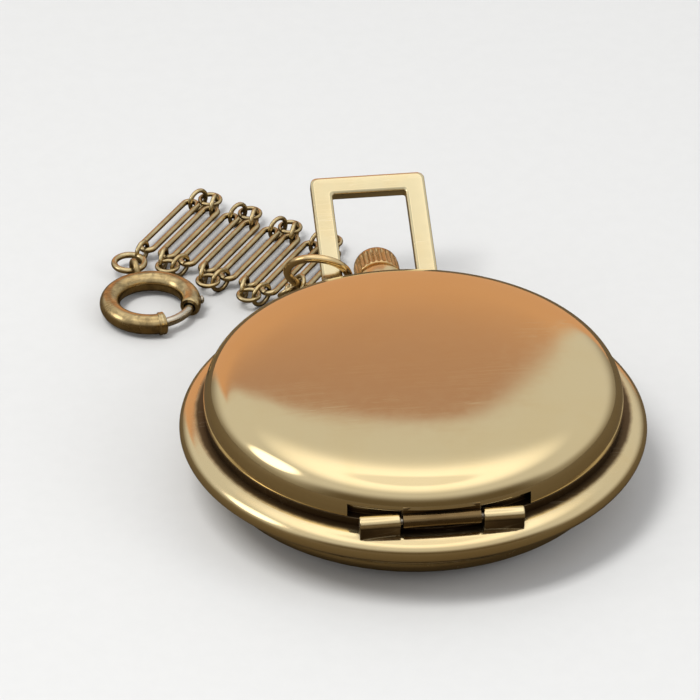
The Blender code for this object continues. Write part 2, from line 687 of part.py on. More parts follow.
# (x, y) from the fork's axis, with +x towards the balance
FORK_OUTLINE = [
    (2.6, 0.42), (0.35, 0.22), (0.1, 0.75), (-0.3, 1.8), (-0.8, 1.8), (-0.66, 1.42),
    (-0.28, 0.62), (-0.28, -0.62), (-0.66, -1.42), (-0.8, -1.8), (-0.3, -1.8),
    (0.1, -0.75), (0.35, -0.22), (2.6, -0.42), (2.6, -0.2), (2.3, -0.18), (2.3, 0.18),
    (2.6, 0.2),
]
piece(
    "pallet_fork", "steel",
    moved(
        prism(FORK_OUTLINE, 4.5, 4.8),
        Matrix.Translation((*PALLET, 0)) @ Matrix.Rotation(LEVER_ANGLE, 4, "Z"),
    ),
    join=[placed(rod(0.15, 4.4, 5.5, 8), PALLET)],
    origin=(*PALLET, 0),
)

BALANCE_RIM = [(4.4, 3.3), (BALANCE_R, 3.3), (BALANCE_R, 3.7), (4.4, 3.7)]
roller_pin = polar(-0.72, LEVER_ANGLE, BALANCE)
piece(
    "balance_wheel", "brass", placed(lathe(BALANCE_RIM, 24), BALANCE),
    join=[
        placed(block((-4.6, 4.6), (-0.35, 0.35), (3.4, 3.6)), BALANCE),     # arms
        placed(rod(0.22, 2.76, 5.5, 8), BALANCE),                           # staff
        placed(rod(0.85, 4.2, 4.42, 12), BALANCE),                          # roller
        placed(rod(0.1, 4.3, 4.8, 6), roller_pin),
    ],
    origin=(*BALANCE, 0),
)
piece("hairspring", "blued_steel", placed(spiral(0.6, 2.7, 3, 10, 0.1, 2.9, 3.05), BALANCE))

# ------------------------------------------------------------------ motion work, dial, hands
MINUTE = polar(MOTION_DISTANCE, math.radians(MOTION_DEG))
CANNON_MODULE = 2 * MOTION_DISTANCE / (CANNON_TEETH + MINUTE_TEETH)
HOUR_MODULE = 2 * MOTION_DISTANCE / (MINUTE_PINION + HOUR_TEETH)
MINUTE_PHASE = meshed(0.0, CANNON_TEETH, CENTER, MINUTE, MINUTE_TEETH)
HOUR_PHASE = meshed(MINUTE_PHASE, MINUTE_PINION, MINUTE, CENTER, HOUR_TEETH)


def pipe(inner_r, outer_r, z0, z1, steps):
    return lathe([(inner_r, z0), (outer_r, z0), (outer_r, z1), (inner_r, z1)], steps)


cannon_outline = gear(CANNON_TEETH, CANNON_MODULE, pinion=True)
piece(
    "cannon_pinion", "steel", prism(cannon_outline, 7.1, 7.42, [circle(CENTER, 0.42, 10)]),
    join=[pipe(0.42, 0.7, 7.06, 9.15, 10)],
)

minute_outline = gear(MINUTE_TEETH, CANNON_MODULE, MINUTE_PHASE)
minute_pinion = gear(MINUTE_PINION, HOUR_MODULE, MINUTE_PHASE, pinion=True)
piece(
    "minute_wheel", "brass", placed(prism(minute_outline, 7.16, 7.36), MINUTE),
    join=[placed(prism(minute_pinion, 7.2, 7.9), MINUTE)],
    origin=(*MINUTE, 0),
)

hour_outline = gear(HOUR_TEETH, HOUR_MODULE, HOUR_PHASE)
piece(
    "hour_wheel", "brass", prism(hour_outline, 7.56, 7.8, [circle(CENTER, 0.84, 12)]),
    join=[pipe(0.84, 1.15, 7.54, 8.74, 12)],
)
piece(
    "dial", "dial_white",
    prism(
        circle(CENTER, DIAL_R, 44), DIAL_LOW, DIAL_HIGH,
        [circle(CENTER, 1.35, 12), circle(FOURTH, SECONDS_HOLE_R, 8)],
    ),
)


def hand(name, clock_deg, z0, z1, length, width, boss, hole=0, tail=0, place=CENTER):
    """A lance hand with a round boss, turned clockwise from 12. width is half the blade's."""
    outline = arc(boss, 150, 390, 8)
    if tail:
        outline[4:5] = [(-0.25, -tail), (0.25, -tail)]      # in place of the lowest point
    outline += [
        (width * 0.45, boss), (width, length * 0.72), (0, length),
        (-width, length * 0.72), (-width * 0.45, boss),
    ]
    holes = [circle(CENTER, hole, 10)] if hole else []
    turned = Matrix.Rotation(-math.radians(clock_deg), 4, "Z")
    piece(
        name, "blued_steel",
        moved(prism(outline, z0, z1, holes), Matrix.Translation((*place, 0)) @ turned),
        origin=(*place, 0),
    )


hand("hour_hand", 305.0, 8.8, 8.95, length=9.6, width=0.75, boss=1.4, hole=0.8)
hand("minute_hand", 60.0, 9.2, 9.35, length=14.6, width=0.6, boss=1.05, hole=0.38)
hand(
    "seconds_hand", 205.0, 8.46, 8.56,
    length=3.7, width=0.16, boss=0.4, tail=1.2, place=FOURTH,
)

# ------------------------------------------------------------------ chain
UP = Vector((0, 0, 1))
CHAIN_ALONG = Vector((*polar(1.0, math.radians(CHAIN_DEG)), 0))
CHAIN_ASIDE = Vector((-CHAIN_ALONG.y, CHAIN_ALONG.x, 0))
RING_IN, LINK_IN = RING_WIRE + LINK_PLAY, LINK_WIRE + LINK_PLAY
END_STEP = 2 * SIDE_RING_R - RING_IN - FUSED
MID_STEP = 2 * MID_RING_R - 2 * FUSED
FETTER_STEP = FETTER_LONG - 2 * LINK_IN


def heading(along, aside, up=0.0):
    return (CHAIN_ALONG * along + CHAIN_ASIDE * aside + UP * up).normalized()


def ring_path(middle, normal, radius, count):
    normal = normal.normalized()
    a = normal.orthogonal().normalized()
    b = normal.cross(a)
    angles = [TURN * i / count for i in range(count)]
    return [middle + radius * (math.cos(t) * a + math.sin(t) * b) for t in angles]


def ring(first, last, upright, radius, thick, count=10, sides=4, normal=None):
    """A ring centred between two points on its wire, upright or flat unless normal is given."""
    along = (last - first).normalized()
    side = UP.cross(along).normalized()
    normal = normal or (side if upright else along.cross(side).normalized())
    return wire(ring_path((first + last) / 2, normal, radius, count), normal, thick, sides)


def fetter(first, last):
    """A long link with round ends; first and last are the wire centres at its two tips."""
    along = (last - first).normalized()
    side = UP.cross(along).normalized()
    path = []
    for tip, sense in ((last, 1), (first, -1)):
        middle = tip - sense * FETTER_HALF * along
        for forward, sideways in arc(FETTER_HALF, -90, 90, 4):
            path.append(middle + sense * (forward * along + sideways * side))
    return wire(path, along.cross(side).normalized(), LINK_WIRE, 6)


def ring_group(name, start, headings, origin, first_normal=None):
    """Three small rings in a row: upright, flat, upright. Returns where the next link begins."""
    here = start
    shapes = []
    for i, (step, way) in enumerate(zip((END_STEP, MID_STEP, END_STEP), headings)):
        there = here + step * way
        near = RING_IN if i == 0 else FUSED
        far = RING_IN if i == 2 else FUSED
        shapes.append(ring(
            here - near * way, there + far * way, i != 1,
            MID_RING_R if i == 1 else SIDE_RING_R, RING_WIRE,
            normal=first_normal if i == 0 else None,
        ))
        here = there
    piece(name, "aged_gold", shapes[0], join=shapes[1:], origin=origin)
    return here


# the large ring on the bow's left bar
BOW_RING_NORMAL = Vector((0.20, 0.86, 0.47)).normalized()
BOW_RING_AT = Vector((-6.5, 28.4, 7.2))
piece(
    "bow_ring", "polished_gold",
    wire(
        ring_path(BOW_RING_AT, BOW_RING_NORMAL, BOW_RING_R, 16),
        BOW_RING_NORMAL, BOW_RING_WIRE, 6,
    ),
    origin=tuple(BOW_RING_AT),
)

# the first ring group leaves the bow ring leftwards and down, and reaches CHAIN_Z at its end
level = Vector((-BOW_RING_NORMAL.y, BOW_RING_NORMAL.x, 0)).normalized()
downhill = level.cross(BOW_RING_NORMAL).normalized()
leave_x, leave_y = polar(1.0, math.radians(50))
leaving = (level * leave_x + downhill * leave_y).normalized()
point = BOW_RING_AT + leaving * (BOW_RING_R - BOW_RING_WIRE - LINK_PLAY)
drop = (point.z + END_STEP * leaving.z - CHAIN_Z) / (END_STEP + MID_STEP)
flat = math.sqrt(1 - drop * drop)
point = ring_group(
    "chain_rings_1", point,
    [
        leaving,
        heading(0.5 * flat, 0.866 * flat, -drop),
        heading(0.94 * flat, 0.342 * flat, -drop),
    ],
    origin=tuple(BOW_RING_AT + leaving * BOW_RING_R),
    first_normal=BOW_RING_NORMAL.cross(leaving).normalized(),
)

# the fetters lie side by side, to and fro, with a ring group at each bend
sense = 1.0
for index in range(1, FETTERS + 1):
    way = CHAIN_ALONG * sense
    fetter_end = point + FETTER_STEP * way
    tip = point - LINK_IN * way
    pivot = fetter_end + LINK_IN * way
    piece(f"fetter_{index}", "aged_gold", fetter(tip, pivot), origin=tuple(tip))
    if index < FETTERS:
        degrees = (12.0, 8.0, 18.0) if sense > 0 else (18.0, 8.0, 12.0)
        near, across, far = (math.radians(d) for d in degrees)
        headings = [
            heading(sense * math.cos(near), math.sin(near)),
            heading(math.sin(across), math.cos(across)),
            heading(-sense * math.cos(far), math.sin(far)),
        ]
        point = ring_group(
            f"chain_rings_{index + 1}", fetter_end, headings, origin=tuple(pivot),
        )
        sense = -sense

# the last rings: one small ring, then a larger jump ring that the bolt ring's eye goes round
outgoing = heading(-1.0, 0.04)
to_bolt = heading(-0.72, -0.69)
small_end = fetter_end + END_STEP * outgoing
jump_at = small_end + (JUMP_R - FUSED) * outgoing
piece(
    f"chain_rings_{FETTERS + 1}", "aged_gold",
    ring(
        fetter_end - RING_IN * outgoing, small_end + FUSED * outgoing, True,
        SIDE_RING_R, RING_WIRE,
    ),
    join=[wire(ring_path(jump_at, UP, JUMP_R, 14), UP, JUMP_WIRE, 6)],
    origin=tuple(pivot),
)

# ------------------------------------------------------------------ bolt ring
jump_inside = jump_at + (JUMP_R - JUMP_WIRE - LINK_PLAY) * to_bolt
eye_near = jump_inside - (EYE_WIRE + LINK_PLAY) * to_bolt
eye_far = jump_inside + (2 * EYE_R - EYE_WIRE - LINK_PLAY) * to_bolt
BOLT_AT = eye_far + (BOLT_R + BOLT_TUBE - 0.08) * to_bolt
BOLT_AT.z = CHAIN_Z
GAP_MID, GAP_HALF = math.radians(-48), math.radians(27)


def bolt_arc(start, end, count):
    """Pairs along the bent axis of the bolt ring: a point and its outward direction."""
    angles = [start + (end - start) * i / count for i in range(count + 1)]
    outwards = [Vector((*polar(1.0, a), 0)) for a in angles]
    return [(BOLT_AT + BOLT_R * outward, outward) for outward in outwards]


def bolt_tube():
    """A hollow tube bent round, open at both sides of the gap."""
    bm = bmesh.new()
    rows = [
        [
            [bm.verts.new(p) for p in round_section(middle, outward, UP, radius, 8)]
            for radius in (BOLT_TUBE, BOLT_BORE)
        ]
        for middle, outward in bolt_arc(GAP_MID + GAP_HALF, GAP_MID - GAP_HALF + TURN, 18)
    ]
    for row, next_row in zip(rows, rows[1:]):
        for loop, next_loop in zip(row, next_row):
            bridge_loops(bm, loop, next_loop)
    for row in (rows[0], rows[-1]):
        bridge_loops(bm, *row)
    bmesh.ops.recalc_face_normals(bm, faces=bm.faces)
    return bm


piece(
    "bolt_ring", "aged_gold", bolt_tube(),
    join=[ring(eye_near, eye_far, True, EYE_R, EYE_WIRE, 12, 6)],
    origin=tuple(jump_at + JUMP_R * to_bolt),
)

# the bolt spans the gap and runs into the tube at both sides
bolt_path = [
    middle for middle, _ in bolt_arc(
        GAP_MID - GAP_HALF - math.radians(12), GAP_MID + GAP_HALF + math.radians(38), 9,
    )
]
piece(
    "bolt_ring_bolt", "steel", wire(bolt_path, UP, BOLT_ROD, 8, closed=False),
    origin=tuple(BOLT_AT),
)
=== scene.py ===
"""A gold hunter-cased fob watch with its bow, chain and bolt ring, set in a soft pale studio.

The watch lies on its back cover: +Z runs up through the lid, the crown and bow point to +Y, the
lid hinge is at -Y and the chain hangs off the bow. The camera looks from -Y and above.
Lengths are in millimetres until to_object() turns them into metres; the stage is in metres.
"""

import json
import math

import bmesh
import bpy
from mathutils import Matrix, Vector

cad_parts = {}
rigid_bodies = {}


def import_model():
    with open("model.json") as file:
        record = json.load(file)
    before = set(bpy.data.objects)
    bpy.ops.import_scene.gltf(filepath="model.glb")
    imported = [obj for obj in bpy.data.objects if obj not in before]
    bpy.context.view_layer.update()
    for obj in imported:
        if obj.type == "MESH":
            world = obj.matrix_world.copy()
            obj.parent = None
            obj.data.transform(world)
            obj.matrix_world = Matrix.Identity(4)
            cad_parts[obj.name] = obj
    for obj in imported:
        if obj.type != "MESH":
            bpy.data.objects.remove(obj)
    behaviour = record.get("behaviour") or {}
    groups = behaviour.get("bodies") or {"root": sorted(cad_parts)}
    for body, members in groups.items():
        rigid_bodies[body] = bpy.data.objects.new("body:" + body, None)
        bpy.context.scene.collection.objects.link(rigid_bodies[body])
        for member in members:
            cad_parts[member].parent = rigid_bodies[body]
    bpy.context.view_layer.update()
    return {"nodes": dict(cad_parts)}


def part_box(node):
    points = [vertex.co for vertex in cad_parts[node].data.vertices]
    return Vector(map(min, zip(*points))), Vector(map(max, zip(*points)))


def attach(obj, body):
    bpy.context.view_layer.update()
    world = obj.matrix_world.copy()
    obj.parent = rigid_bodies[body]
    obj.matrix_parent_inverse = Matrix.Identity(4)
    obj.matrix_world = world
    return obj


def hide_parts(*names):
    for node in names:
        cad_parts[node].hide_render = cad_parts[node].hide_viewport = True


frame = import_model()

MM = 0.001
TURN = 2.0 * math.pi
UP = Vector((0, 0, 1))

# dimensions that several pieces share
STEM_Z = 6.4                        # height of the axis of pendant, crown and bow
HINGE_Y, HINGE_Z = -21.4, 9.2
LID_R = 21.5
DIAL_R = 18.6
AXIS = (0.0, 0.0)
FOURTH = (0.0, -8.4)                # centre of the small seconds dial


# ---------------------------------------------------------------------- node building
class Nodes:
    """Fills a node tree; sockets and plain values can be mixed freely."""

    def __init__(self, owner):
        owner.use_nodes = True
        self.tree = owner.node_tree
        self.tree.nodes.clear()

    def put(self, socket, value):
        if isinstance(value, bpy.types.NodeSocket):
            self.tree.links.new(value, socket)
        else:
            if socket.type == "RGBA" and len(value) == 3:
                value = (*value, 1.0)
            socket.default_value = value

    def add(self, kind, *values, sockets=None, **props):
        """A node; values fill its first inputs in order, sockets maps input names or numbers."""
        node = self.tree.nodes.new(kind)
        for key, value in props.items():
            setattr(node, key, value)
        for socket, value in zip(node.inputs, values):
            self.put(socket, value)
        for key, value in (sockets or {}).items():
            self.put(node.inputs[key], value)
        return node

    def span(self, value, low, high, to_low=0.0, to_high=1.0):
        """A smooth step of value from low..high to to_low..to_high."""
        return self.add("ShaderNodeMapRange", value, low, high, to_low, to_high,
                        interpolation_type="SMOOTHSTEP").outputs[0]

    def mix(self, share, base, over):
        node = self.add("ShaderNodeMix", share, sockets={6: base, 7: over}, data_type="RGBA")
        return node.outputs[2]

    def split(self, co):
        return self.add("ShaderNodeSeparateXYZ", co).outputs


class Look(Nodes):
    """A Principled material; self.co holds object coordinates in millimetres."""

    def __init__(self, name):
        self.mat = bpy.data.materials.new(name)
        super().__init__(self.mat)
        self.shader = self.add("ShaderNodeBsdfPrincipled")
        self.add("ShaderNodeOutputMaterial", self.shader.outputs[0])
        object_co = self.add("ShaderNodeTexCoord").outputs["Object"]
        self.co = self.stretched(object_co, (1000, 1000, 1000))

    def stretched(self, co, scale):
        return self.add("ShaderNodeVectorMath", co, scale, operation="MULTIPLY").outputs[0]

    def radius(self, co):
        """Distance from the Z axis."""
        flat = self.stretched(co, (1, 1, 0))
        return self.add("ShaderNodeVectorMath", flat, operation="LENGTH").outputs["Value"]

    def calc(self, operation, a, b=0.0, c=0.0, clamp=False):
        return self.add("ShaderNodeMath", a, b, c, operation=operation,
                        use_clamp=clamp).outputs[0]

    def times(self, a, b, clamp=False):
        return self.calc("MULTIPLY", a, b, clamp=clamp)

    def scaled(self, value, by, plus, clamp=False):
        return self.calc("MULTIPLY_ADD", value, by, plus, clamp)

    def mapped(self, co, rotation=(0, 0, 0), scale=(1, 1, 1), location=(0, 0, 0)):
        """Coordinates through a Mapping node; rotation in degrees."""
        return self.add("ShaderNodeMapping", sockets={
            "Vector": co, "Rotation": [math.radians(angle) for angle in rotation],
            "Scale": scale, "Location": location}).outputs[0]

    def noise(self, co, scale, detail=3.0, rough=0.55, warp=0.0):
        return self.add("ShaderNodeTexNoise", sockets={
            "Vector": co, "Scale": scale, "Detail": detail, "Roughness": rough,
            "Distortion": warp}).outputs["Fac"]

    def openness(self, distance, inside=False):
        """Ambient occlusion: low in crevices, or near edges when taken inside the solid."""
        return self.add("ShaderNodeAmbientOcclusion", samples=6, inside=inside,
                        sockets={"Distance": distance * MM}).outputs["AO"]

    def hairlines(self, angle, scale, thin, tilt=0.0):
        """Long thin scratches: where a stretched noise crosses its middle value."""
        co = self.mapped(self.co, rotation=(tilt, 0, angle), scale=(0.035, 1.0, 0.35))
        noise = self.noise(co, scale, detail=1.5, rough=0.45)
        off = self.calc("ABSOLUTE", self.calc("SUBTRACT", noise, 0.5))
        return self.span(off, low=0.0, high=thin, to_low=1.0, to_high=0.0)

    def bumped(self, height, strength, distance, normal=None):
        sockets = {"Strength": strength, "Distance": distance * MM, "Height": height}
        if normal is not None:
            sockets["Normal"] = normal
        return self.add("ShaderNodeBump", sockets=sockets).outputs[0]

    def done(self, colour, roughness, normal, metallic=1.0, **more):
        """Fill the shader; further inputs are named with _ for the spaces."""
        inputs = {"Base Color": colour, "Roughness": roughness, "Normal": normal,
                  "Metallic": metallic}
        inputs.update({key.replace("_", " "): value for key, value in more.items()})
        for key, value in inputs.items():
            self.put(self.shader.inputs[key], value)
        return self.mat


# ---------------------------------------------------------------------- materials
def worn_metal(name, colour, warm, deep, pale, rough, shade_and_grime, reach, wear, scratches, blotch,
               dents, mottled=0.0, shade_groove=None, ripple=0.10):
    """Plated metal with uneven tone, dirty crevices, rubbed edges, scratches and haze.

    warm, deep, pale: colours of the patches, of the crevices' dirt and painted shade, and of the
    rubbed places
    shade_and_grime, reach: strength of the crevice darkening (dirt with painted shade), and width in
    mm of the crevices it fills
    grime, reach: strength of the dirt, and width in mm of the crevices that hold it
    wear, scratches, blotch, mottled: strength of rubbed edges, hairlines, patches, dark clouds
    dents: relief in mm
    shade_groove: clean radius, darkest radius, low and high z of a channel darkened with painted
    shade and grime
    """
    m = Look(name)
    patches = m.noise(m.co, scale=0.16, detail=3.0, rough=0.6, warp=0.6)
    cloud = m.noise(m.co, scale=0.9, detail=4.0, rough=0.62, warp=0.3)
    specks = m.noise(m.co, scale=6.5, detail=3.0, rough=0.6)
    tone = m.mix(m.times(m.span(patches, low=0.35, high=0.68), blotch), colour, warm)
    if mottled:
        tone = m.mix(m.times(m.span(cloud, low=0.42, high=0.66), mottled), tone, deep)

    # crevices darkened by ambient occlusion: dirt together with painted shade
    shut = m.calc("SUBTRACT", 1.0, m.openness(reach))
    uneven = m.scaled(cloud, by=0.9, plus=0.55)
    dirt_and_shade = m.span(m.times(shut, uneven), low=0.22, high=0.80)
    dirt_and_shade = m.times(dirt_and_shade, shade_and_grime, clamp=True)
    tone = m.mix(dirt_and_shade, tone, deep)
    if shade_groove:
        #         painted shade darkens a channel: between the lid and the rim, where old polish and
        #             dust also settle, and at the hinge knuckles' feet
        clean, shade_dirt_r, low, high = shade_groove
        z = m.split(m.co)[2]
        across = m.scaled(cloud, by=0.25, plus=m.radius(m.co))
        channel_shade = m.span(across, shade_dirt_r, clean, to_low=1.0, to_high=0.0)
        channel_shade = m.times(channel_shade, m.span(z, low, low + 0.2))
        channel_shade = m.times(channel_shade, m.span(z, high, high + 0.35, to_low=1.0, to_high=0.0))
        dirt_and_shade = m.calc("MAXIMUM", dirt_and_shade, m.times(channel_shade, 0.93), clamp=True)
        tone = m.mix(dirt_and_shade, tone, deep)

    edge = m.openness(0.16, inside=True)
    edge = m.span(edge, low=0.42, high=0.86, to_low=1.0, to_high=0.0)
    rubbed = m.times(m.times(edge, m.span(cloud, low=0.30, high=0.62)), wear, clamp=True)
    tone = m.mix(rubbed, tone, pale)

    lines = m.calc("MAXIMUM", m.hairlines(angle=24, scale=0.9, thin=0.006),
                   m.hairlines(angle=-58, scale=1.3, thin=0.004, tilt=35))
    lines = m.calc("MAXIMUM", lines, m.hairlines(angle=81, scale=0.7, thin=0.003, tilt=-20))
    lines = m.times(lines, m.span(patches, low=0.38, high=0.62))
    tone = m.mix(m.times(lines, 0.22 * scratches), tone, pale)

    haze = m.scaled(m.span(cloud, low=0.35, high=0.75), by=ripple, plus=rough)
    haze = m.scaled(specks, by=0.4 * ripple, plus=haze)
    haze = m.scaled(dirt_and_shade, by=0.35, plus=haze)
    haze = m.scaled(lines, by=0.16 * scratches, plus=haze, clamp=True)
    height = m.scaled(specks, by=0.25, plus=cloud)
    normal = m.bumped(height, strength=0.5, distance=dents)
    normal = m.bumped(lines, strength=0.18 * scratches, distance=-0.01, normal=normal)
    return m.done(tone, haze, normal)


GOLD, GOLD_WARM = (0.80, 0.655, 0.385), (0.79, 0.60, 0.31)
# the deep colours are near-black browns for crevices darkened with dirt and painted shade
GOLD_DEEP, GOLD_SHADE_DIRT, GOLD_PALE = (0.085, 0.045, 0.016), (0.055, 0.028, 0.010), (0.93, 0.86, 0.66)
AGED, AGED_WARM = (0.66, 0.54, 0.31), (0.52, 0.37, 0.17)
AGED_DEEP, AGED_PALE = (0.035, 0.021, 0.010), (0.88, 0.78, 0.52)

# name: (colour, warm, deep, pale),
#       (rough, grime and shade, reach, wear, scratches, blotch, dents), other settings of worn_metal
WORN_METALS = {
    "lid_gold": ((GOLD, (0.79, 0.63, 0.35), GOLD_DEEP, GOLD_PALE),
                 (0.070, 0.85, 0.9, 0.35, 0.32, 0.5, 0.0012), {"ripple": 0.03}),
    "case_gold": ((GOLD, GOLD_WARM, GOLD_DEEP, GOLD_PALE),
                  (0.11, 0.95, 1.1, 0.55, 0.6, 0.4, 0.008), {}),
    # the band's channel under the lid is darkened with painted shade and some grime
    "band_gold": ((GOLD, GOLD_WARM, GOLD_SHADE_DIRT, GOLD_PALE),
                  (0.10, 0.95, 1.1, 0.5, 0.6, 0.4, 0.004),
                  {"shade_groove": (22.75, 22.15, 7.0, 9.2), "ripple": 0.06}),
    # the hinge tab's dark brown tones are painted shade for the recess between the knuckles
    "tab_gold_painted_shade": (((0.20, 0.135, 0.062), (0.14, 0.085, 0.035), (0.02, 0.012, 0.006),
                  (0.7, 0.58, 0.36)), (0.22, 0.95, 1.2, 0.35, 0.4, 0.6, 0.01), {}),
    # the knuckles' feet below the hinge axis get painted shade
    "knuckle_gold": ((GOLD, GOLD_WARM, GOLD_SHADE_DIRT, GOLD_PALE),
                     (0.12, 0.95, 0.8, 0.7, 0.6, 0.3, 0.008),
                     {"shade_groove": (25.2, 24.6, 6.0, 9.05)}),
    "bow_gold": (((0.78, 0.675, 0.43), GOLD_WARM, GOLD_DEEP, (0.97, 0.94, 0.84)),
                 (0.13, 0.7, 0.8, 0.95, 0.9, 0.3, 0.010), {}),
    # the crown's browner tone is a painted brown reflection
    "crown_gold_painted_reflection": (((0.72, 0.50, 0.25), (0.60, 0.36, 0.15), GOLD_DEEP, GOLD_PALE),
                   (0.16, 0.95, 0.5, 0.5, 0.4, 0.6, 0.010), {}),
    "ring_gold": (((0.76, 0.58, 0.31), (0.66, 0.42, 0.17), GOLD_DEEP, GOLD_PALE),
                  (0.13, 0.85, 0.8, 0.4, 0.6, 0.6, 0.010), {}),
    "chain_brass": ((AGED, AGED_WARM, AGED_DEEP, AGED_PALE),
                    (0.13, 0.97, 1.3, 0.35, 0.5, 0.65, 0.02), {"mottled": 0.25}),
    "bolt_brass": (((0.62, 0.48, 0.25), (0.44, 0.30, 0.13), AGED_DEEP, AGED_PALE),
                   (0.16, 0.95, 1.2, 0.5, 0.7, 0.9, 0.022), {"mottled": 0.42}),
    "bolt_steel": (((0.62, 0.58, 0.50), (0.50, 0.44, 0.34), (0.06, 0.05, 0.04),
                    (0.85, 0.83, 0.78)), (0.18, 0.8, 0.8, 0.3, 0.8, 0.5, 0.01), {}),
    "pin_steel": (((0.55, 0.50, 0.42), (0.45, 0.38, 0.28), (0.05, 0.04, 0.03),
                   (0.8, 0.76, 0.7)), (0.22, 0.9, 0.6, 0.3, 0.4, 0.5, 0.01), {}),
}
metal = {name: worn_metal(name, *tones, *finish, **others)
         for name, (tones, finish, others) in WORN_METALS.items()}


def cut_metal(name, colour, deep, centre, rough, relief, rings=0.0, stripes=0.0):
    """Machined movement metal: rings per mm round its centre, or stripes of that width in mm."""
    m = Look(name)
    local = m.mapped(m.co, location=(-centre[0], -centre[1], 0))
    fine = m.noise(m.co, scale=3.0, detail=3.0, rough=0.6)
    if stripes:
        along = m.mapped(local, rotation=(0, 0, 35.0))
        wave = m.calc("SINE", m.times(m.split(along)[0], TURN / stripes))
        grain_co = m.mapped(along, rotation=(0, 0, 12), scale=(0.5, 9, 1))
        grain = m.noise(grain_co, scale=2.0, detail=2.0, rough=0.5)
        height = m.scaled(wave, by=0.6, plus=m.times(grain, 0.3))
    else:
        phase = m.scaled(m.radius(local), by=rings * TURN, plus=m.times(fine, 2.5))
        wave = m.calc("SINE", phase)
        height = m.scaled(wave, by=0.5, plus=fine)
    # crevices darkened by ambient occlusion: dirt together with painted shade
    shut = m.calc("SUBTRACT", 1.0, m.openness(0.6))
    dirt_and_shade = m.span(m.scaled(fine, by=0.3, plus=shut), low=0.35, high=1.0)
    tone = m.mix(m.scaled(wave, by=0.05, plus=0.06), colour, deep)
    tone = m.mix(m.times(dirt_and_shade, 0.7), tone, deep)
    haze = m.scaled(fine, by=0.12, plus=rough, clamp=True)
    haze = m.scaled(wave, by=0.04, plus=haze, clamp=True)
    return m.done(tone, haze, m.bumped(height, strength=0.6, distance=relief))


def heat_blued():
    """Deep blue steel with paler edges."""
    m = Look("heat_blued_steel")
    wander = m.noise(m.co, scale=0.5, detail=3.0, rough=0.5)
    tone = m.mix(m.span(wander, low=0.35, high=0.7), (0.020, 0.035, 0.20), (0.05, 0.045, 0.17))
    edge = m.openness(0.1, inside=True)
    edge = m.span(edge, low=0.4, high=0.9, to_low=1.0, to_high=0.0)
    tone = m.mix(m.times(edge, 0.4), tone, (0.16, 0.24, 0.52))
    fine = m.noise(m.mapped(m.co, scale=(8, 8, 1)), scale=1.0, detail=2.0)
    return m.done(tone, m.scaled(fine, by=0.12, plus=0.12),
                  m.bumped(fine, strength=0.3, distance=0.003))


def enamel():
    """Cream enamel that yellows outward, with clouds and faint cracks."""
    m = Look("dial_enamel")
    aged = m.span(m.radius(m.co), low=11.0, high=DIAL_R)
    cloud = m.noise(m.co, scale=0.35, detail=4.0, rough=0.6)
    cracks = m.add("ShaderNodeTexVoronoi", feature="DISTANCE_TO_EDGE", sockets={
        "Vector": m.mapped(m.co, scale=(0.22, 0.22, 0.22)), "Scale": 1.0})
    line = m.span(cracks.outputs["Distance"], low=0.0, high=0.012, to_low=1.0, to_high=0.0)
    tone = m.mix(m.times(aged, 0.6), (0.84, 0.82, 0.76), (0.76, 0.71, 0.60))
    tone = m.mix(m.span(cloud, low=0.45, high=0.8, to_high=0.25), tone, (0.74, 0.69, 0.58))
    tone = m.mix(m.times(line, 0.14), tone, (0.45, 0.38, 0.28))
    grain = m.noise(m.co, scale=9.0, detail=2.0)
    return m.done(tone, m.scaled(grain, by=0.1, plus=0.22),
                  m.bumped(grain, strength=0.15, distance=0.004), metallic=0.0, Coat_Weight=0.4)


def print_black():
    m = Look("dial_print_black")
    grain = m.noise(m.co, scale=7.0, detail=3.0)
    tone = m.mix(m.span(grain, low=0.3, high=0.8), (0.012, 0.012, 0.014), (0.04, 0.037, 0.034))
    return m.done(tone, m.scaled(grain, by=0.2, plus=0.3),
                  m.bumped(grain, strength=0.3, distance=0.004), metallic=0.0)


def crystal_clear():
    """Clear crystal with smears and hairline scratches."""
    m = Look("crystal_clear")
    smear_co = m.mapped(m.co, rotation=(0, 0, 30), scale=(0.12, 0.5, 1))
    smear = m.noise(smear_co, scale=1.0, detail=3.0, rough=0.6)
    lines = m.calc("MAXIMUM", m.hairlines(angle=15, scale=0.9, thin=0.003),
                   m.hairlines(angle=-70, scale=1.1, thin=0.003))
    rough = m.scaled(lines, by=0.12, plus=m.span(smear, low=0.45, high=0.85, to_high=0.05))
    tone = m.mix(m.span(smear, low=0.4, high=0.8), (0.985, 0.99, 0.985), (0.95, 0.955, 0.94))
    return m.done(tone, rough, m.bumped(lines, strength=0.1, distance=-0.004), metallic=0.0,
                  Transmission_Weight=1.0, IOR=1.49)


def rubber():
    m = Look("gasket_rubber")
    grain = m.noise(m.co, scale=4.0, detail=4.0, rough=0.65)
    tone = m.mix(grain, (0.012, 0.012, 0.012), (0.05, 0.048, 0.045))
    return m.done(tone, m.scaled(grain, by=0.25, plus=0.5),
                  m.bumped(grain, strength=0.5, distance=0.02), metallic=0.0)


blued = heat_blued()
dial_enamel = enamel()
dial_black = print_black()
clear = crystal_clear()
gasket = rubber()


# ---------------------------------------------------------------------- shape helpers
def shade(mesh, sharp):
    mesh.shade_smooth()
    mesh.set_sharp_from_angle(angle=math.radians(sharp))


def to_object(name, shape, sharp=38.0):
    """Turn a bmesh in mm into an object in metres; edges over sharp degrees stay crisp."""
    bmesh.ops.recalc_face_normals(shape, faces=shape.faces)
    bmesh.ops.scale(shape, verts=shape.verts, vec=(MM, MM, MM))
    mesh = bpy.data.meshes.new(name)
    shape.to_mesh(mesh)
    shape.free()
    made = bpy.data.objects.new(name, mesh)
    bpy.context.scene.collection.objects.link(made)
    shade(mesh, sharp)
    return made


def dress(made, look):
    made.data.materials.clear()
    made.data.materials.append(look)


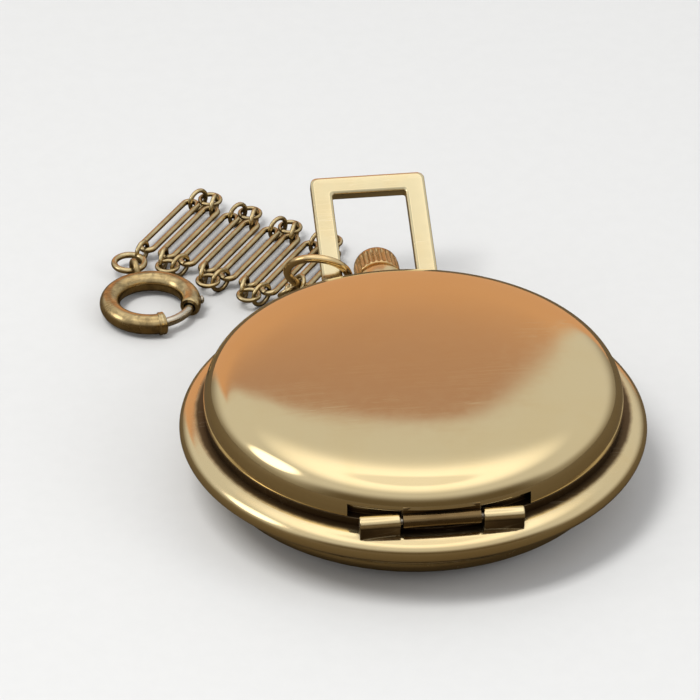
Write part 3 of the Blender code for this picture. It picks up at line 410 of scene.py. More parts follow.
def finish_piece(made, look, body, slot, *replaced):
    dress(made, look)
    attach(made, body)
    if replaced:
        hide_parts(*replaced)


def evaluated_mesh(made):
    bpy.context.view_layer.update()
    depsgraph = bpy.context.evaluated_depsgraph_get()
    return bpy.data.meshes.new_from_object(made.evaluated_get(depsgraph), depsgraph=depsgraph)


def boolean(made, shapes, operation="DIFFERENCE", sharp=38.0):
    """Cut or join closed shapes, and keep only the resulting mesh."""
    cutters = [to_object("cutter", shape) for shape in shapes]
    for i, cutter in enumerate(cutters):
        change = made.modifiers.new(f"b{i}", "BOOLEAN")
        change.operation, change.object, change.solver = operation, cutter, "EXACT"
    mesh = evaluated_mesh(made)
    made.modifiers.clear()
    old = made.data
    made.data = mesh
    bpy.data.meshes.remove(old)
    mesh.name = made.name
    for cutter in cutters:
        bpy.data.objects.remove(cutter, do_unlink=True)
    clean = bmesh.new()
    clean.from_mesh(mesh)
    bmesh.ops.remove_doubles(clean, verts=clean.verts, dist=2e-7)
    bmesh.ops.dissolve_degenerate(clean, edges=clean.edges, dist=1e-7)
    clean.to_mesh(mesh)
    clean.free()
    shade(mesh, sharp)


def soften(points, closed=True, steps=4):
    """Round the corners of an outline; a point's third number is how far its rounding reaches."""
    rounded = []
    count = len(points)
    for i, (x, y, *reach) in enumerate(points):
        corner = Vector((x, y))
        if not reach or (not closed and i in (0, count - 1)):
            rounded.append(tuple(corner))
            continue
        back = Vector(points[i - 1][:2]) - corner
        ahead = Vector(points[(i + 1) % count][:2]) - corner
        start = corner + back.normalized() * min(reach[0], back.length * 0.48)
        end = corner + ahead.normalized() * min(reach[0], ahead.length * 0.48)
        for k in range(steps + 1):
            t = k / steps
            rounded.append(tuple((1 - t) ** 2 * start + 2 * t * (1 - t) * corner + t * t * end))
    return rounded


def curve_through(points, per):
    """A smooth curve through the points, with per steps between neighbours."""
    inner = [Vector(p) for p in points]
    knots = [2 * inner[0] - inner[1]] + inner + [2 * inner[-1] - inner[-2]]
    curve = []
    for i in range(1, len(knots) - 2):
        before, start, end, after = knots[i - 1 : i + 3]
        for k in range(per):
            t = k / per
            curve.append(tuple(0.5 * (
                (2 * start) + (end - before) * t
                + (2 * before - 5 * start + 4 * end - after) * t * t
                + (3 * start - 3 * end + after - before) * t ** 3)))
    curve.append(tuple(inner[-1]))
    return curve


def lathe(profile, steps, flute=None):
    """A closed (radius, height) outline turned about Z; points with radius 0 are shared.

    flute(height, angle, radius) scales the radius.
    """
    shape = bmesh.new()
    columns = []
    poles = {}
    for i in range(steps):
        angle = TURN * i / steps
        column = []
        for j, (r, z) in enumerate(profile):
            if r < 1e-6:
                if j not in poles:
                    poles[j] = shape.verts.new((0, 0, z))
                column.append(poles[j])
            else:
                k = flute(z, angle, r) if flute else 1.0
                column.append(shape.verts.new((r * k * math.cos(angle), r * k * math.sin(angle), z)))
        columns.append(column)
    for i in range(steps):
        here, there = columns[i], columns[(i + 1) % steps]
        for j in range(len(profile)):
            k = (j + 1) % len(profile)
            corners = list(dict.fromkeys((here[j], here[k], there[k], there[j])))
            if len(corners) > 2:
                shape.faces.new(corners)
    return shape


def cylinder(radius, z0, z1, steps):
    return lathe([(0, z0), (radius, z0), (radius, z1), (0, z1)], steps)


def moved(shape, matrix):
    bmesh.ops.transform(shape, matrix=matrix, verts=shape.verts)
    return shape


def along_y(shape, z):
    """Lay a turned shape along +Y, with its axis at height z."""
    return moved(shape, Matrix.Translation((0, 0, z)) @ Matrix.Rotation(-math.pi / 2, 4, "X"))


def along_x(shape, y, z):
    return moved(shape, Matrix.Translation((0, y, z)) @ Matrix.Rotation(math.pi / 2, 4, "Y"))


def box(low, high, bevel=0.0):
    shape = bmesh.new()
    bmesh.ops.create_cube(shape, size=1.0)
    for v in shape.verts:
        v.co = Vector([(a + b) / 2 + c * (b - a) for a, b, c in zip(low, high, v.co)])
    if bevel:
        bmesh.ops.bevel(shape, geom=list(shape.edges), offset=bevel, segments=3, profile=0.6,
                        affect="EDGES")
    return shape


def skin(sections, closed):
    """Join a row of sections of equal size, and cap the two ends of an open one."""
    shape = bmesh.new()
    rings = [[shape.verts.new(p) for p in section] for section in sections]
    sides = len(rings[0])
    for i in range(len(rings) if closed else len(rings) - 1):
        here, there = rings[i], rings[(i + 1) % len(rings)]
        for j in range(sides):
            k = (j + 1) % sides
            shape.faces.new((here[j], here[k], there[k], there[j]))
    if not closed:
        shape.faces.new(rings[0])
        shape.faces.new(rings[-1])
    return shape


def round_section(middle, radius, out, normal, sides):
    angles = [TURN * j / sides for j in range(sides)]
    return [middle + radius * (math.cos(a) * out + math.sin(a) * normal) for a in angles]


def wire(path, normal, radii, sides, closed=True):
    """A round wire along a flat path; radii holds one radius for each point."""
    sections, count = [], len(path)
    for i, (p, radius) in enumerate(zip(path, radii)):
        if closed:
            along = path[(i + 1) % count] - path[i - 1]
        else:
            along = path[min(i + 1, count - 1)] - path[max(i - 1, 0)]
        out = along.normalized().cross(normal).normalized()
        sections.append(round_section(p, radius, out, normal, sides))
    return skin(sections, closed)


def joined(*shapes):
    """Several closed shapes in one mesh."""
    whole = bmesh.new()
    for shape in shapes:
        mesh = bpy.data.meshes.new("part")
        shape.to_mesh(mesh)
        shape.free()
        whole.from_mesh(mesh)
        bpy.data.meshes.remove(mesh)
    return whole


def prism(outline, z0, z1, holes=()):
    shape = bmesh.new()
    edges = []
    for loop in (outline, *holes):
        row = [shape.verts.new((x, y, z0)) for x, y in loop]
        edges += [shape.edges.new((row[i], row[(i + 1) % len(row)])) for i in range(len(row))]
    bmesh.ops.triangle_fill(shape, use_beauty=True, use_dissolve=False, edges=edges)
    made = bmesh.ops.extrude_face_region(shape, geom=list(shape.faces))
    top = [part for part in made["geom"] if isinstance(part, bmesh.types.BMVert)]
    bmesh.ops.translate(shape, verts=top, vec=(0, 0, z1 - z0))
    return shape


def circle(centre, radius, count):
    x, y = centre
    angles = [TURN * i / count for i in range(count)]
    return [(x + radius * math.cos(a), y + radius * math.sin(a)) for a in angles]


# ---------------------------------------------------------------------- case
# Lathe outlines hold (radius, position along the axis), and where softened a corner reach.
RIM_FOOT_R, RIM_R = 21.4, 24.0      # where the bulging rim starts, and its widest
RIM_MID_Z, RIM_HALF = 6.42, 1.53    # middle and half height of the bulge
BAND_R, BAND_FOOT_Z = 18.9, 3.85    # bore and underside of the band

# Case band, notched for the lid hinge and pierced for the pendant.
rim_curve = []
for i in range(25):
    angle = math.radians(-90 + 180 * i / 24)
    rim_curve.append((RIM_FOOT_R + (RIM_R - RIM_FOOT_R) * math.cos(angle) ** 0.78,
                      RIM_MID_Z + RIM_HALF * math.sin(angle)))
band_foot = [(BAND_R, BAND_FOOT_Z), (RIM_FOOT_R, BAND_FOOT_Z)]
band_top = soften([
    (RIM_FOOT_R, 7.95), (RIM_FOOT_R, 8.8, 0.10), (20.4, 8.8, 0.06), (20.4, 9.55, 0.14),
    (BAND_R, 9.55, 0.14), (BAND_R, BAND_FOOT_Z)], closed=False)[:-1]
band = to_object("case_band_shell", lathe(band_foot + rim_curve + band_top, 224))
boolean(band, [
    box((-4.1, -22.9, 8.2), (4.1, -20.42, 9.9)),
    along_y(cylinder(2.0, 17.5, 25.2, 40), STEM_Z),
    box((-1.8, 18.0, 8.84), (1.8, 20.9, 9.36)),
])
finish_piece(band, metal["band_gold"], "case", "case_gold", "case_band")

# Lid hinge: two knuckles on the band and the pin through them.
KNUCKLE_R, KNUCKLE_FOOT_Z = 0.80, 7.6
KNUCKLE_IN, KNUCKLE_OUT = 4.2, 8.2
HINGE_BORE_R = 0.40


def knuckle(x0, x1):
    """One hinge knuckle along X with rounded rims, standing on a straight foot."""
    outline = [(HINGE_Y - 0.45, KNUCKLE_FOOT_Z), (HINGE_Y + 0.6, KNUCKLE_FOOT_Z)]
    for i in range(25):
        angle = math.radians(-35 + i * 250 / 24)
        outline.append((HINGE_Y + KNUCKLE_R * math.cos(angle),
                        HINGE_Z + KNUCKLE_R * math.sin(angle)))
    stations = ((x0, 0.10), (x0 + 0.05, 0.03), (x0 + 0.14, 0.0),
                (x1 - 0.14, 0.0), (x1 - 0.05, 0.03), (x1, 0.10))   # x, share of shrinking
    rows = []
    for x, shrink in stations:
        rows.append([Vector((
            x, HINGE_Y + (y - HINGE_Y) * (1 - shrink),
            HINGE_Z + (z - HINGE_Z) * (1 - shrink) if z > KNUCKLE_FOOT_Z else z,
        )) for y, z in outline])
    return skin(rows, False)


def hinge_bore():
    return along_x(cylinder(HINGE_BORE_R, -9, 9, 32), HINGE_Y, HINGE_Z)


for side, x0, x1 in (("left", -KNUCKLE_OUT, -KNUCKLE_IN), ("right", KNUCKLE_IN, KNUCKLE_OUT)):
    made = to_object(f"hinge_knuckle_{side}", knuckle(x0, x1))
    boolean(made, [hinge_bore()])
    finish_piece(made, metal["knuckle_gold"], "case", "case_gold")

PIN_R, PIN_HALF = 0.35, 8.12
pin_outline = soften([(0, -PIN_HALF), (PIN_R, -PIN_HALF, 0.08), (PIN_R, PIN_HALF, 0.08),
                      (0, PIN_HALF)], closed=False)
pin = to_object("lid_hinge_pin_round", along_x(lathe(pin_outline, 32), HINGE_Y, HINGE_Z))
finish_piece(pin, metal["pin_steel"], "case", "steel", "lid_hinge_pin")

# Lid: a shallow dome with a steep shoulder, cut away round the hinge.
lid_out = curve_through([
    (0, 13.8), (5, 13.775), (10, 13.69), (14, 13.53), (16.6, 13.33), (18.6, 13.02),
    (19.9, 12.52), (20.8, 11.75), (21.3, 10.8), (21.48, 9.9), (LID_R, 9.2)], 7)
lid_foot = soften([(LID_R, 9.2), (LID_R, 8.85, 0.16), (20.9, 8.85, 0.10), (20.9, 9.5)],
                  closed=False)[1:-1]
lid_in = curve_through([
    (20.9, 9.5), (20.72, 10.6), (20.1, 11.5), (19.0, 12.2), (17.0, 12.65), (14, 12.92),
    (8, 13.12), (0, 13.2)], 5)
lid = to_object("front_cover_shell", lathe(lid_out + lid_foot + lid_in, 256))
boolean(lid, [
    box((-9.2, -23.0, 8.0), (9.2, -20.96, 10.32)),
    box((-9.2, -21.2, 8.0), (-3.95, -18.6, 10.32)),
    box((3.95, -21.2, 8.0), (9.2, -18.6, 10.32)),
])
finish_piece(lid, metal["lid_gold"], "lid", "case_gold", "front_cover")

# Hinge tab: the lid's tube between the knuckles, with a strip up to the lid.
TAB_R, TAB_HALF = 0.72, 3.9
tab_outline = soften([(HINGE_BORE_R, -TAB_HALF), (TAB_R, -TAB_HALF, 0.06),
                      (TAB_R, TAB_HALF, 0.06), (HINGE_BORE_R, TAB_HALF)])
tab = to_object("lid_hinge_tab", along_x(lathe(tab_outline, 48), HINGE_Y, HINGE_Z))
boolean(tab, [box((-3.85, -21.15, HINGE_Z + 0.1), (3.85, -20.72, 10.6), 0.03)], "UNION")
boolean(tab, [hinge_bore()])
finish_piece(tab, metal["tab_gold_painted_shade"], "lid", "case_gold")

# Back cover: flat in the middle, curving up to the band.
back_flat = curve_through([(0, 0), (5, 0), (8.8, 0.0)], 3)[:-1]
back_out = curve_through([
    (8.8, 0.0), (11.5, 0.07), (14.5, 0.30), (17.2, 0.72), (19.2, 1.38), (20.5, 2.25),
    (21.15, 3.1), (21.4, 3.8)], 6)
back_in = curve_through([
    (20.8, 3.8), (20.5, 3.1), (19.8, 2.4), (18.4, 1.75), (16.0, 1.2), (13.0, 0.85),
    (9.0, 0.7), (0, 0.7)], 4)
back = to_object("back_cover_shell", lathe(back_flat + back_out + back_in, 224))
finish_piece(back, metal["case_gold"], "case", "case_gold", "back_cover")

# Bezel and domed crystal, under the lid.
bezel = to_object("bezel_round", lathe(soften([
    (16.9, 9.65, 0.05), (20.3, 9.65, 0.08), (20.3, 10.1, 0.10), (19.9, 10.42, 0.12),
    (19.2, 10.65, 0.15), (17.75, 10.65, 0.15), (17.4, 10.5, 0.08), (17.4, 9.8, 0.02),
    (16.9, 9.8, 0.03)]), 192))
finish_piece(bezel, metal["case_gold"], "case", "case_gold", "bezel")

glass_under = curve_through([
    (0, 11.4), (5, 11.32), (9, 11.12), (13, 10.68), (15.6, 10.1), (16.6, 9.87)], 5)
glass_top = curve_through([
    (17.3, 9.87), (17.32, 10.35), (15.2, 11.0), (12, 11.5), (8, 11.82), (4, 11.96),
    (0, 12.0)], 5)
glass = to_object("crystal_dome", lathe(glass_under + glass_top, 144))
finish_piece(glass, clear, "case", "crystal_clear", "crystal")

# ---------------------------------------------------------------------- pendant, crown, bow
COLLAR_Y0, COLLAR_Y1 = 24.15, 26.3
BOW_Y = 25.3                        # the bow's pivot

# Pendant: a tube out of the band with a collar, drilled from both sides for the bow's feet.
pendant = to_object("pendant_turned", along_y(lathe(soften([
    (0.75, 19.1, 0.05), (1.9, 19.1, 0.1), (1.9, 23.4, 0.1), (2.55, 23.95, 0.2),
    (2.72, COLLAR_Y0, 0.05), (2.72, COLLAR_Y0 + 0.2, 0.05), (3.05, COLLAR_Y0 + 0.38, 0.2),
    (3.05, COLLAR_Y1 - 0.34, 0.25), (2.78, COLLAR_Y1 - 0.08, 0.12), (1.9, COLLAR_Y1, 0.1),
    (1.6, COLLAR_Y1 - 0.12, 0.05), (0.75, COLLAR_Y1 - 0.12, 0.05)]), 96), STEM_Z))
boolean(pendant, [
    moved(along_x(cylinder(0.5, 2.35, 4.2, 32), BOW_Y, STEM_Z), Matrix.Diagonal((side, 1, 1, 1)))
    for side in (1, -1)])
finish_piece(pendant, metal["case_gold"], "case", "case_gold", "pendant")

CROWN_R, CROWN_Y0, CROWN_Y1 = 2.45, 27.45, 31.7
CROWN_BORE_R = 0.62
FLUTES, FLUTE_DEPTH = 26, 0.075     # depth as a share of the radius
FLUTE_Y0, FLUTE_Y1 = 27.62, 30.45


def flute(y, angle, r):
    """Rounded flutes that fade out at the crown's two ends."""
    if r < 1.9:
        return 1.0
    fade_in = min(1.0, max(0.0, (y - FLUTE_Y0) / 0.25))
    fade_out = min(1.0, max(0.0, (FLUTE_Y1 - y) / 0.6))
    depth = FLUTE_DEPTH * fade_in * fade_out
    return 1.0 - depth * (0.5 - 0.5 * math.cos(FLUTES * angle)) ** 1.6


crown_bore = [(0.0, 29.6), (0.58, 29.6), (0.60, 29.5), (CROWN_BORE_R, CROWN_Y0 + 0.05)]
crown_foot = soften([(CROWN_BORE_R, CROWN_Y0), (2.0, CROWN_Y0, 0.10),
                     (2.38, CROWN_Y0 + 0.12, 0.12), (CROWN_R, 27.75)], closed=False)
crown_side = [(CROWN_R, 27.9 + 0.22 * i) for i in range(10)]
crown_dome = curve_through([(2.44, 30.1), (2.34, 30.55), (2.05, 31.0), (1.55, 31.38),
                            (0.9, 31.62), (0.0, CROWN_Y1)], 5)
crown_outline = crown_bore + crown_foot + crown_side + crown_dome
crown = to_object("crown_fluted", along_y(lathe(crown_outline, FLUTES * 8, flute), STEM_Z), 50)
finish_piece(crown, metal["crown_gold_painted_reflection"], "crown", "case_gold", "crown")

BOW_X, BOW_TOP = 5.1, 38.9          # centre lines of the bow's sides and of its top bar
BOW_W, BOW_T = 2.2, 1.5             # width and thickness of the bar
BOW_OUTER_R, BOW_INNER_R, BOW_CHAMFER, BOW_EDGE = 0.75, 0.3, 0.3, 0.08
BOW_TILT = 25.0
CORNER_STEPS = 9
FOOT_PINS = ((-2.6, 0.26), (-2.64, 0.3), (-3.19, 0.3))      # x, radius


def bow_shape():
    """Half the bow, from its left foot pin to the middle of the top bar, then mirrored."""
    half = BOW_W / 2
    left, right = -BOW_X - half, -BOW_X + half
    low, high = BOW_Y - half, BOW_TOP + half
    flat, thick, side = half - BOW_CHAMFER, BOW_T / 2, BOW_T / 2 - BOW_CHAMFER * 0.7
    profile = soften([(x, z, BOW_EDGE) for x, z in (
        (flat, thick), (half, side), (half, -side), (flat, -thick),
        (-flat, -thick), (-half, -side), (-half, side), (-flat, thick))], steps=3)

    def corner(first_deg, inner_y, outer_y):
        pairs = []
        for i in range(CORNER_STEPS + 1):
            angle = math.radians(first_deg - 90.0 * i / CORNER_STEPS)
            turn = Vector((math.cos(angle), math.sin(angle)))
            inner = Vector((right + BOW_INNER_R, inner_y)) + BOW_INNER_R * turn
            outer = Vector((left + BOW_OUTER_R, outer_y)) + BOW_OUTER_R * turn
            pairs.append((tuple(inner), tuple(outer)))
        return pairs

    # pairs of points on the inner and outer edge
    spine = [((x, low + BOW_W), (x, low)) for x in (-3.2, -3.45)]
    spine += corner(-90.0, low + BOW_W + BOW_INNER_R, low + BOW_OUTER_R)
    spine += [((right, y), (left, y)) for y in range(28, 37)]
    spine += corner(180.0, high - BOW_W - BOW_INNER_R, high - BOW_OUTER_R)
    spine += [((x, high - BOW_W), (x, high)) for x in (-2.7, -1.8, -0.9)]

    rows = []
    for x, r in FOOT_PINS:
        angles = [math.atan2(b, a) for a, b in profile]
        rows.append([Vector((x, BOW_Y + r * math.cos(t), STEM_Z + r * math.sin(t)))
                     for t in angles])
    for inner, outer in spine:
        middle = (Vector((*inner, STEM_Z)) + Vector((*outer, STEM_Z))) / 2
        across = (Vector((*inner, 0)) - Vector((*outer, 0))) / 2
        rows.append([middle + across * (a / half) + b * UP for a, b in profile])
    centre = [Vector((0, BOW_TOP, STEM_Z)) + Vector((0, -a, 0)) + b * UP for a, b in profile]
    mirrored = [[Vector((-p.x, p.y, p.z)) for p in row] for row in reversed(rows)]
    tilt = (Matrix.Translation((0, BOW_Y, STEM_Z))
            @ Matrix.Rotation(math.radians(BOW_TILT), 4, "X")
            @ Matrix.Translation((0, -BOW_Y, -STEM_Z)))
    return moved(skin(rows + [centre] + mirrored, False), tilt)


bow = to_object("bow_stirrup", bow_shape(), 24.0)
finish_piece(bow, metal["bow_gold"], "bow", "case_gold", "bow")

# ---------------------------------------------------------------------- dial and hands
dial = to_object("dial_plate", prism(circle(AXIS, DIAL_R, 144), 8.0, 8.34,
                                     [circle(AXIS, 1.35, 48), circle(FOURTH, 0.45, 24)]))
finish_piece(dial, dial_enamel, "case", "dial_white", "dial")

PRINT_Z = (8.33, 8.365)             # underside and top of the printing


def printed_ring(centre, r0, r1, count=160):
    return prism(circle(centre, r1, count), *PRINT_Z, [circle(centre, r0, count)])


def tick(centre, r0, r1, half, deg):
    """A radial mark from r0 to r1 at deg clockwise from 12."""
    angle = math.radians(90 - deg)
    out = Vector((math.cos(angle), math.sin(angle)))
    side = Vector((-math.sin(angle), math.cos(angle)))
    centre = Vector(centre)
    corners = ((r0, -half), (r1, -half), (r1, half), (r0, half))
    return prism([tuple(centre + out * r + side * w) for r, w in corners], *PRINT_Z)


marks = [
    printed_ring(AXIS, 16.42, 16.5), printed_ring(AXIS, 15.5, 15.58),
    printed_ring(FOURTH, 4.16, 4.24, 96), printed_ring(FOURTH, 3.5, 3.55, 96)]
for i in range(60):
    marks.append(tick(AXIS, 15.6, 16.4, 0.05 if i % 5 else 0.16, 6 * i))
for i in range(60):
    marks.append(tick(FOURTH, 3.57 if i % 5 else 3.2, 4.14, 0.03 if i % 5 else 0.075, 6 * i))
finish_piece(to_object("dial_tracks", joined(*marks)), dial_black, "case", "dial_white")

NUMERAL_R, NUMERAL_SIZE = 13.2, 3.3


def numeral(hour):
    """An hour figure, drawn narrow and tall, in its place on the dial."""
    data = bpy.data.curves.new(f"n{hour}", "FONT")
    data.body, data.size, data.extrude = str(hour), NUMERAL_SIZE, 0.018
    data.align_x, data.align_y = "CENTER", "CENTER"
    data.resolution_u = 5
    maker = bpy.data.objects.new(f"n{hour}", data)
    bpy.context.scene.collection.objects.link(maker)
    mesh = evaluated_mesh(maker)
    bpy.data.objects.remove(maker, do_unlink=True)
    shape = bmesh.new()
    shape.from_mesh(mesh)
    bpy.data.meshes.remove(mesh)
    bmesh.ops.remove_doubles(shape, verts=shape.verts, dist=1e-5)
    angle = math.radians(90 - 30 * hour)
    place = (NUMERAL_R * math.cos(angle), NUMERAL_R * math.sin(angle), sum(PRINT_Z) / 2)
    return moved(shape, Matrix.Translation(place) @ Matrix.Diagonal((0.86, 1.12, 1, 1)))


for hour in (1, 2, 3, 4, 5, 7, 8, 9, 10, 11, 12):
    made = to_object(f"numeral_{hour}", numeral(hour))
    finish_piece(made, dial_black, "case", "dial_white")


def hand_outline(length, width, boss, tail=0.0):
    """A slim hand with a leaf near its tip, pointing along +Y; boss is the radius of its eye."""
    right = [(0.0, length), (0.05, length * 0.97)]
    for i in range(1, 12):
        t = i / 12
        leaf = t * 1.15
        half = width * math.sin(math.pi * leaf) ** 0.9 + 0.09 if leaf < 1 else 0.12
        right.append((half, length * (0.97 - 0.30 * t)))
    right += [(0.15, length * 0.66), (0.22, boss + 0.25)]
    start = math.asin(0.24 / boss)
    end = math.pi - (math.asin(0.14 / boss) if tail else 0.0)
    for i in range(13):
        angle = start + (end - start) * i / 12
        right.append((boss * math.sin(angle), boss * math.cos(angle)))
    if tail:
        right += [(0.12, -tail * 0.75), (0.22, -tail * 0.86), (0.16, -tail)]
    return right + [(-x, y) for x, y in reversed(right) if x > 1e-4]


# name, outline, radius of hole, z of underside and top, clock degrees, centre, body, node
HANDS = (
    ("hour_hand_leaf", hand_outline(length=9.6, width=0.85, boss=1.35),
     0.84, 8.8, 8.95, 305.0, AXIS, "hour_train", "hour_hand"),
    ("minute_hand_leaf", hand_outline(length=14.6, width=0.62, boss=1.05),
     0.42, 9.2, 9.35, 60.0, AXIS, "minute_train", "minute_hand"),
    ("seconds_hand_slim", hand_outline(length=3.7, width=0.14, boss=0.42, tail=1.2),
     0.0, 8.46, 8.56, 205.0, FOURTH, "seconds_train", "seconds_hand"),
)
for name, outline, hole, z0, z1, clock, centre, body, node in HANDS:
    shape = prism(outline, z0, z1, [circle(AXIS, hole, 32)] if hole else [])
    turn = Matrix.Rotation(-math.radians(clock), 4, "Z")
    made = to_object(name, moved(shape, Matrix.Translation((*centre, 0)) @ turn))
    bevel = made.modifiers.new("edge", "BEVEL")
    bevel.width, bevel.segments = 0.00003, 2
    bevel.limit_method, bevel.angle_limit = "ANGLE", math.radians(60)
    finish_piece(made, blued, body, "blued_steel", node)

# ---------------------------------------------------------------------- chain
# Long links (fetters) run to and fro along U; groups of three rings join them, stepping along W.
# Wire sizes are radii.
LINK_WIRE, RING_WIRE = 0.325, 0.25
FETTER_LONG, FETTER_HALF, FETTERS = 11.35, 0.81, 8
SIDE_RING_R, MID_RING_R = 1.15, 1.05
CHAIN_Z = 1.42
CHAIN_DEG = 56.0
U = Vector((math.cos(math.radians(CHAIN_DEG)), math.sin(math.radians(CHAIN_DEG)), 0))
W = Vector((-U.y, U.x, 0))
GAP = 0.03
FUSED = 0.18                        # part of a ring that its neighbour's step leaves out
RING_IN, LINK_IN = RING_WIRE + GAP, LINK_WIRE + GAP
END_STEP = 2 * SIDE_RING_R - RING_IN - FUSED
MID_STEP = 2 * MID_RING_R - 2 * FUSED
FETTER_STEP = FETTER_LONG - 2 * LINK_IN
TOUCH = RING_WIRE + 0.01            # neighbouring rings hang in each other


def heading(u, w, z=0.0):
    return (U * u + W * w + UP * z).normalized()


def round_ring(middle, normal, radius, thick, count=44, sides=12):
    normal = normal.normalized()
    out = normal.orthogonal().normalized()
    path = round_section(middle, radius, out, normal.cross(out), count)
    return wire(path, normal, [thick] * count, sides)


def span_ring(first, last, upright=True, normal=None):
    """A ring whose centre line passes through first and last."""
    along = (last - first).normalized()
    side = UP.cross(along).normalized()
    if normal is None:
        normal = side if upright else along.cross(side).normalized()
    return round_ring((first + last) / 2, normal, (last - first).length / 2, RING_WIRE)


def fetter(first, last):
    """A long link with round ends at first and last."""
    along = (last - first).normalized()
    side = UP.cross(along).normalized()
    path = []
    for tip, direction in ((last, 1), (first, -1)):
        middle = tip - direction * FETTER_HALF * along
        for i in range(17):
            angle = math.radians(-90 + 180 * i / 16)
            path.append(middle + FETTER_HALF * (
                math.cos(angle) * direction * along + math.sin(angle) * direction * side))
        corner = path[-1]
        path += [corner + (-direction * along) * (FETTER_LONG - 2 * FETTER_HALF) * k / 8
                 for k in range(1, 8)]
    return wire(path, along.cross(side).normalized(), [LINK_WIRE] * len(path), 14)


def chain_piece(name, suffix, shape):
    finish_piece(to_object(name + suffix, shape, 60), metal["chain_brass"], name,
                 "chain_brass", name)


def ring_group(index, start, directions, first_normal=None):
    """Three rings in a row from start, the middle one lying; returns where the row ends."""
    place, shapes = start, []
    for i, (step, way) in enumerate(zip((END_STEP, MID_STEP, END_STEP), directions)):
        after = place + step * way
        shapes.append(span_ring(
            place - (RING_IN if i == 0 else TOUCH) * way,
            after + (RING_IN if i == 2 else TOUCH) * way,
            upright=i != 1, normal=first_normal if i == 0 else None))
        place = after
    chain_piece(f"chain_rings_{index}", "_links", joined(*shapes))
    return place


# Large ring hung on the bow; the chain leaves it at reach, below its centre.
BOW_RING_R, BOW_RING_WIRE = 3.3, 0.45
BOW_RING_NORMAL = Vector((0.20, 0.86, 0.47)).normalized()
BOW_RING_AT = Vector((-6.5, 28.4, 7.2))
REACH_ANGLE = math.radians(50)
level_way = Vector((-BOW_RING_NORMAL.y, BOW_RING_NORMAL.x, 0)).normalized()
down_way = level_way.cross(BOW_RING_NORMAL).normalized()
reach = (level_way * math.cos(REACH_ANGLE) + down_way * math.sin(REACH_ANGLE)).normalized()
bow_ring = to_object("bow_ring_round", round_ring(
    BOW_RING_AT, BOW_RING_NORMAL, BOW_RING_R, BOW_RING_WIRE, 72, 18), 60)
finish_piece(bow_ring, metal["ring_gold"], "bow_ring", "case_gold", "bow_ring")

# The first rings come down from the bow ring to the height of the chain.
point = BOW_RING_AT + reach * (BOW_RING_R - BOW_RING_WIRE - GAP)
drop = (point.z + END_STEP * reach.z - CHAIN_Z) / (END_STEP + MID_STEP)
level = math.sqrt(1 - drop * drop)
point = ring_group(
    1, point,
    [reach, heading(0.5 * level, 0.866 * level, -drop), heading(0.94 * level, 0.342 * level, -drop)],
    BOW_RING_NORMAL.cross(reach).normalized())
sense = 1.0
for index in range(1, FETTERS + 1):
    way = U * sense
    end = point + FETTER_STEP * way
    chain_piece(f"fetter_{index}", "_link", fetter(point - LINK_IN * way, end + LINK_IN * way))
    if index < FETTERS:
        near, far = (12.0, 18.0) if sense > 0 else (18.0, 12.0)
        point = ring_group(index + 1, end, [
            heading(sense * math.cos(math.radians(near)), math.sin(math.radians(near))),
            heading(math.sin(math.radians(8)), math.cos(math.radians(8))),
            heading(-sense * math.cos(math.radians(far)), math.sin(math.radians(far)))])
        sense = -sense

# Last rings: a small one and the larger jump ring.
JUMP_R, JUMP_WIRE = 1.65, 0.35
out, turned = heading(-1.0, 0.04), heading(-0.72, -0.69)
second = end + END_STEP * out
jump_at = second + (JUMP_R - FUSED) * out
chain_piece(f"chain_rings_{FETTERS + 1}", "_links", joined(
    span_ring(end - RING_IN * out, second + 0.12 * out),
    round_ring(jump_at + 0.19 * out, UP, JUMP_R, JUMP_WIRE, 56, 16)))

# ---------------------------------------------------------------------- bolt ring
# Angles are in degrees round bolt_at, the ring's centre.
EYE_R, EYE_WIRE = 1.15, 0.35
BOLT_R, BOLT_TUBE, BOLT_BORE, BOLT_ROD = 4.4, 1.1, 0.66, 0.5
GAP_MID, GAP_HALF = -48.0, 27.0
SWEEP = 360 - 2 * GAP_HALF
SLOT_FROM, SLOT_TO, SLOT_HALF = -6.0, 70.0, 0.24
third = jump_at + (JUMP_R - JUMP_WIRE - GAP) * turned
eye_far = third + (2 * EYE_R - EYE_WIRE - GAP) * turned
bolt_at = eye_far + (BOLT_R + BOLT_TUBE - 0.08) * turned
bolt_at.z = CHAIN_Z


def outward(deg):
    angle = math.radians(deg)
    return Vector((math.cos(angle), math.sin(angle), 0))


def hollow_tube(start, sweep, rows, bore):
    """A tube bent round the ring's centre. rows holds (share of the way, outer radius)."""
    def section(t, radius):
        out = outward(start + sweep * t)
        return round_section(bolt_at + BOLT_R * out, radius, out, UP, 28)

    outer = [section(t, radius) for t, radius in rows]
    inner = [section(t, bore) for t, _ in reversed(rows)]
    return skin(outer + inner, True)


def slot_cutter():
    """A curved block through the outer wall of the tube."""
    r0, r1 = BOLT_R + BOLT_BORE - 0.15, BOLT_R + BOLT_TUBE + 0.4
    corners = ((r0, -SLOT_HALF), (r1, -SLOT_HALF), (r1, SLOT_HALF), (r0, SLOT_HALF))
    sections = []
    for i in range(25):
        out = outward(SLOT_FROM + (SLOT_TO - SLOT_FROM) * i / 24)
        sections.append([bolt_at + out * r + UP * z for r, z in corners])
    return skin(sections, False)


# Slotted tube with slightly rounded ends.
tube_rows = []
for i in range(97):
    t = i / 96
    edge = min(t, 1 - t) * SWEEP
    tube_rows.append((t, BOLT_TUBE - 0.09 * max(0.0, 1 - edge / 1.2) ** 2))
bolt = to_object("bolt_ring_tube", hollow_tube(GAP_MID + GAP_HALF, SWEEP, tube_rows, BOLT_BORE), 50)
boolean(bolt, [slot_cutter()], sharp=50)
finish_piece(bolt, metal["bolt_brass"], "bolt_ring", "chain_brass", "bolt_ring")

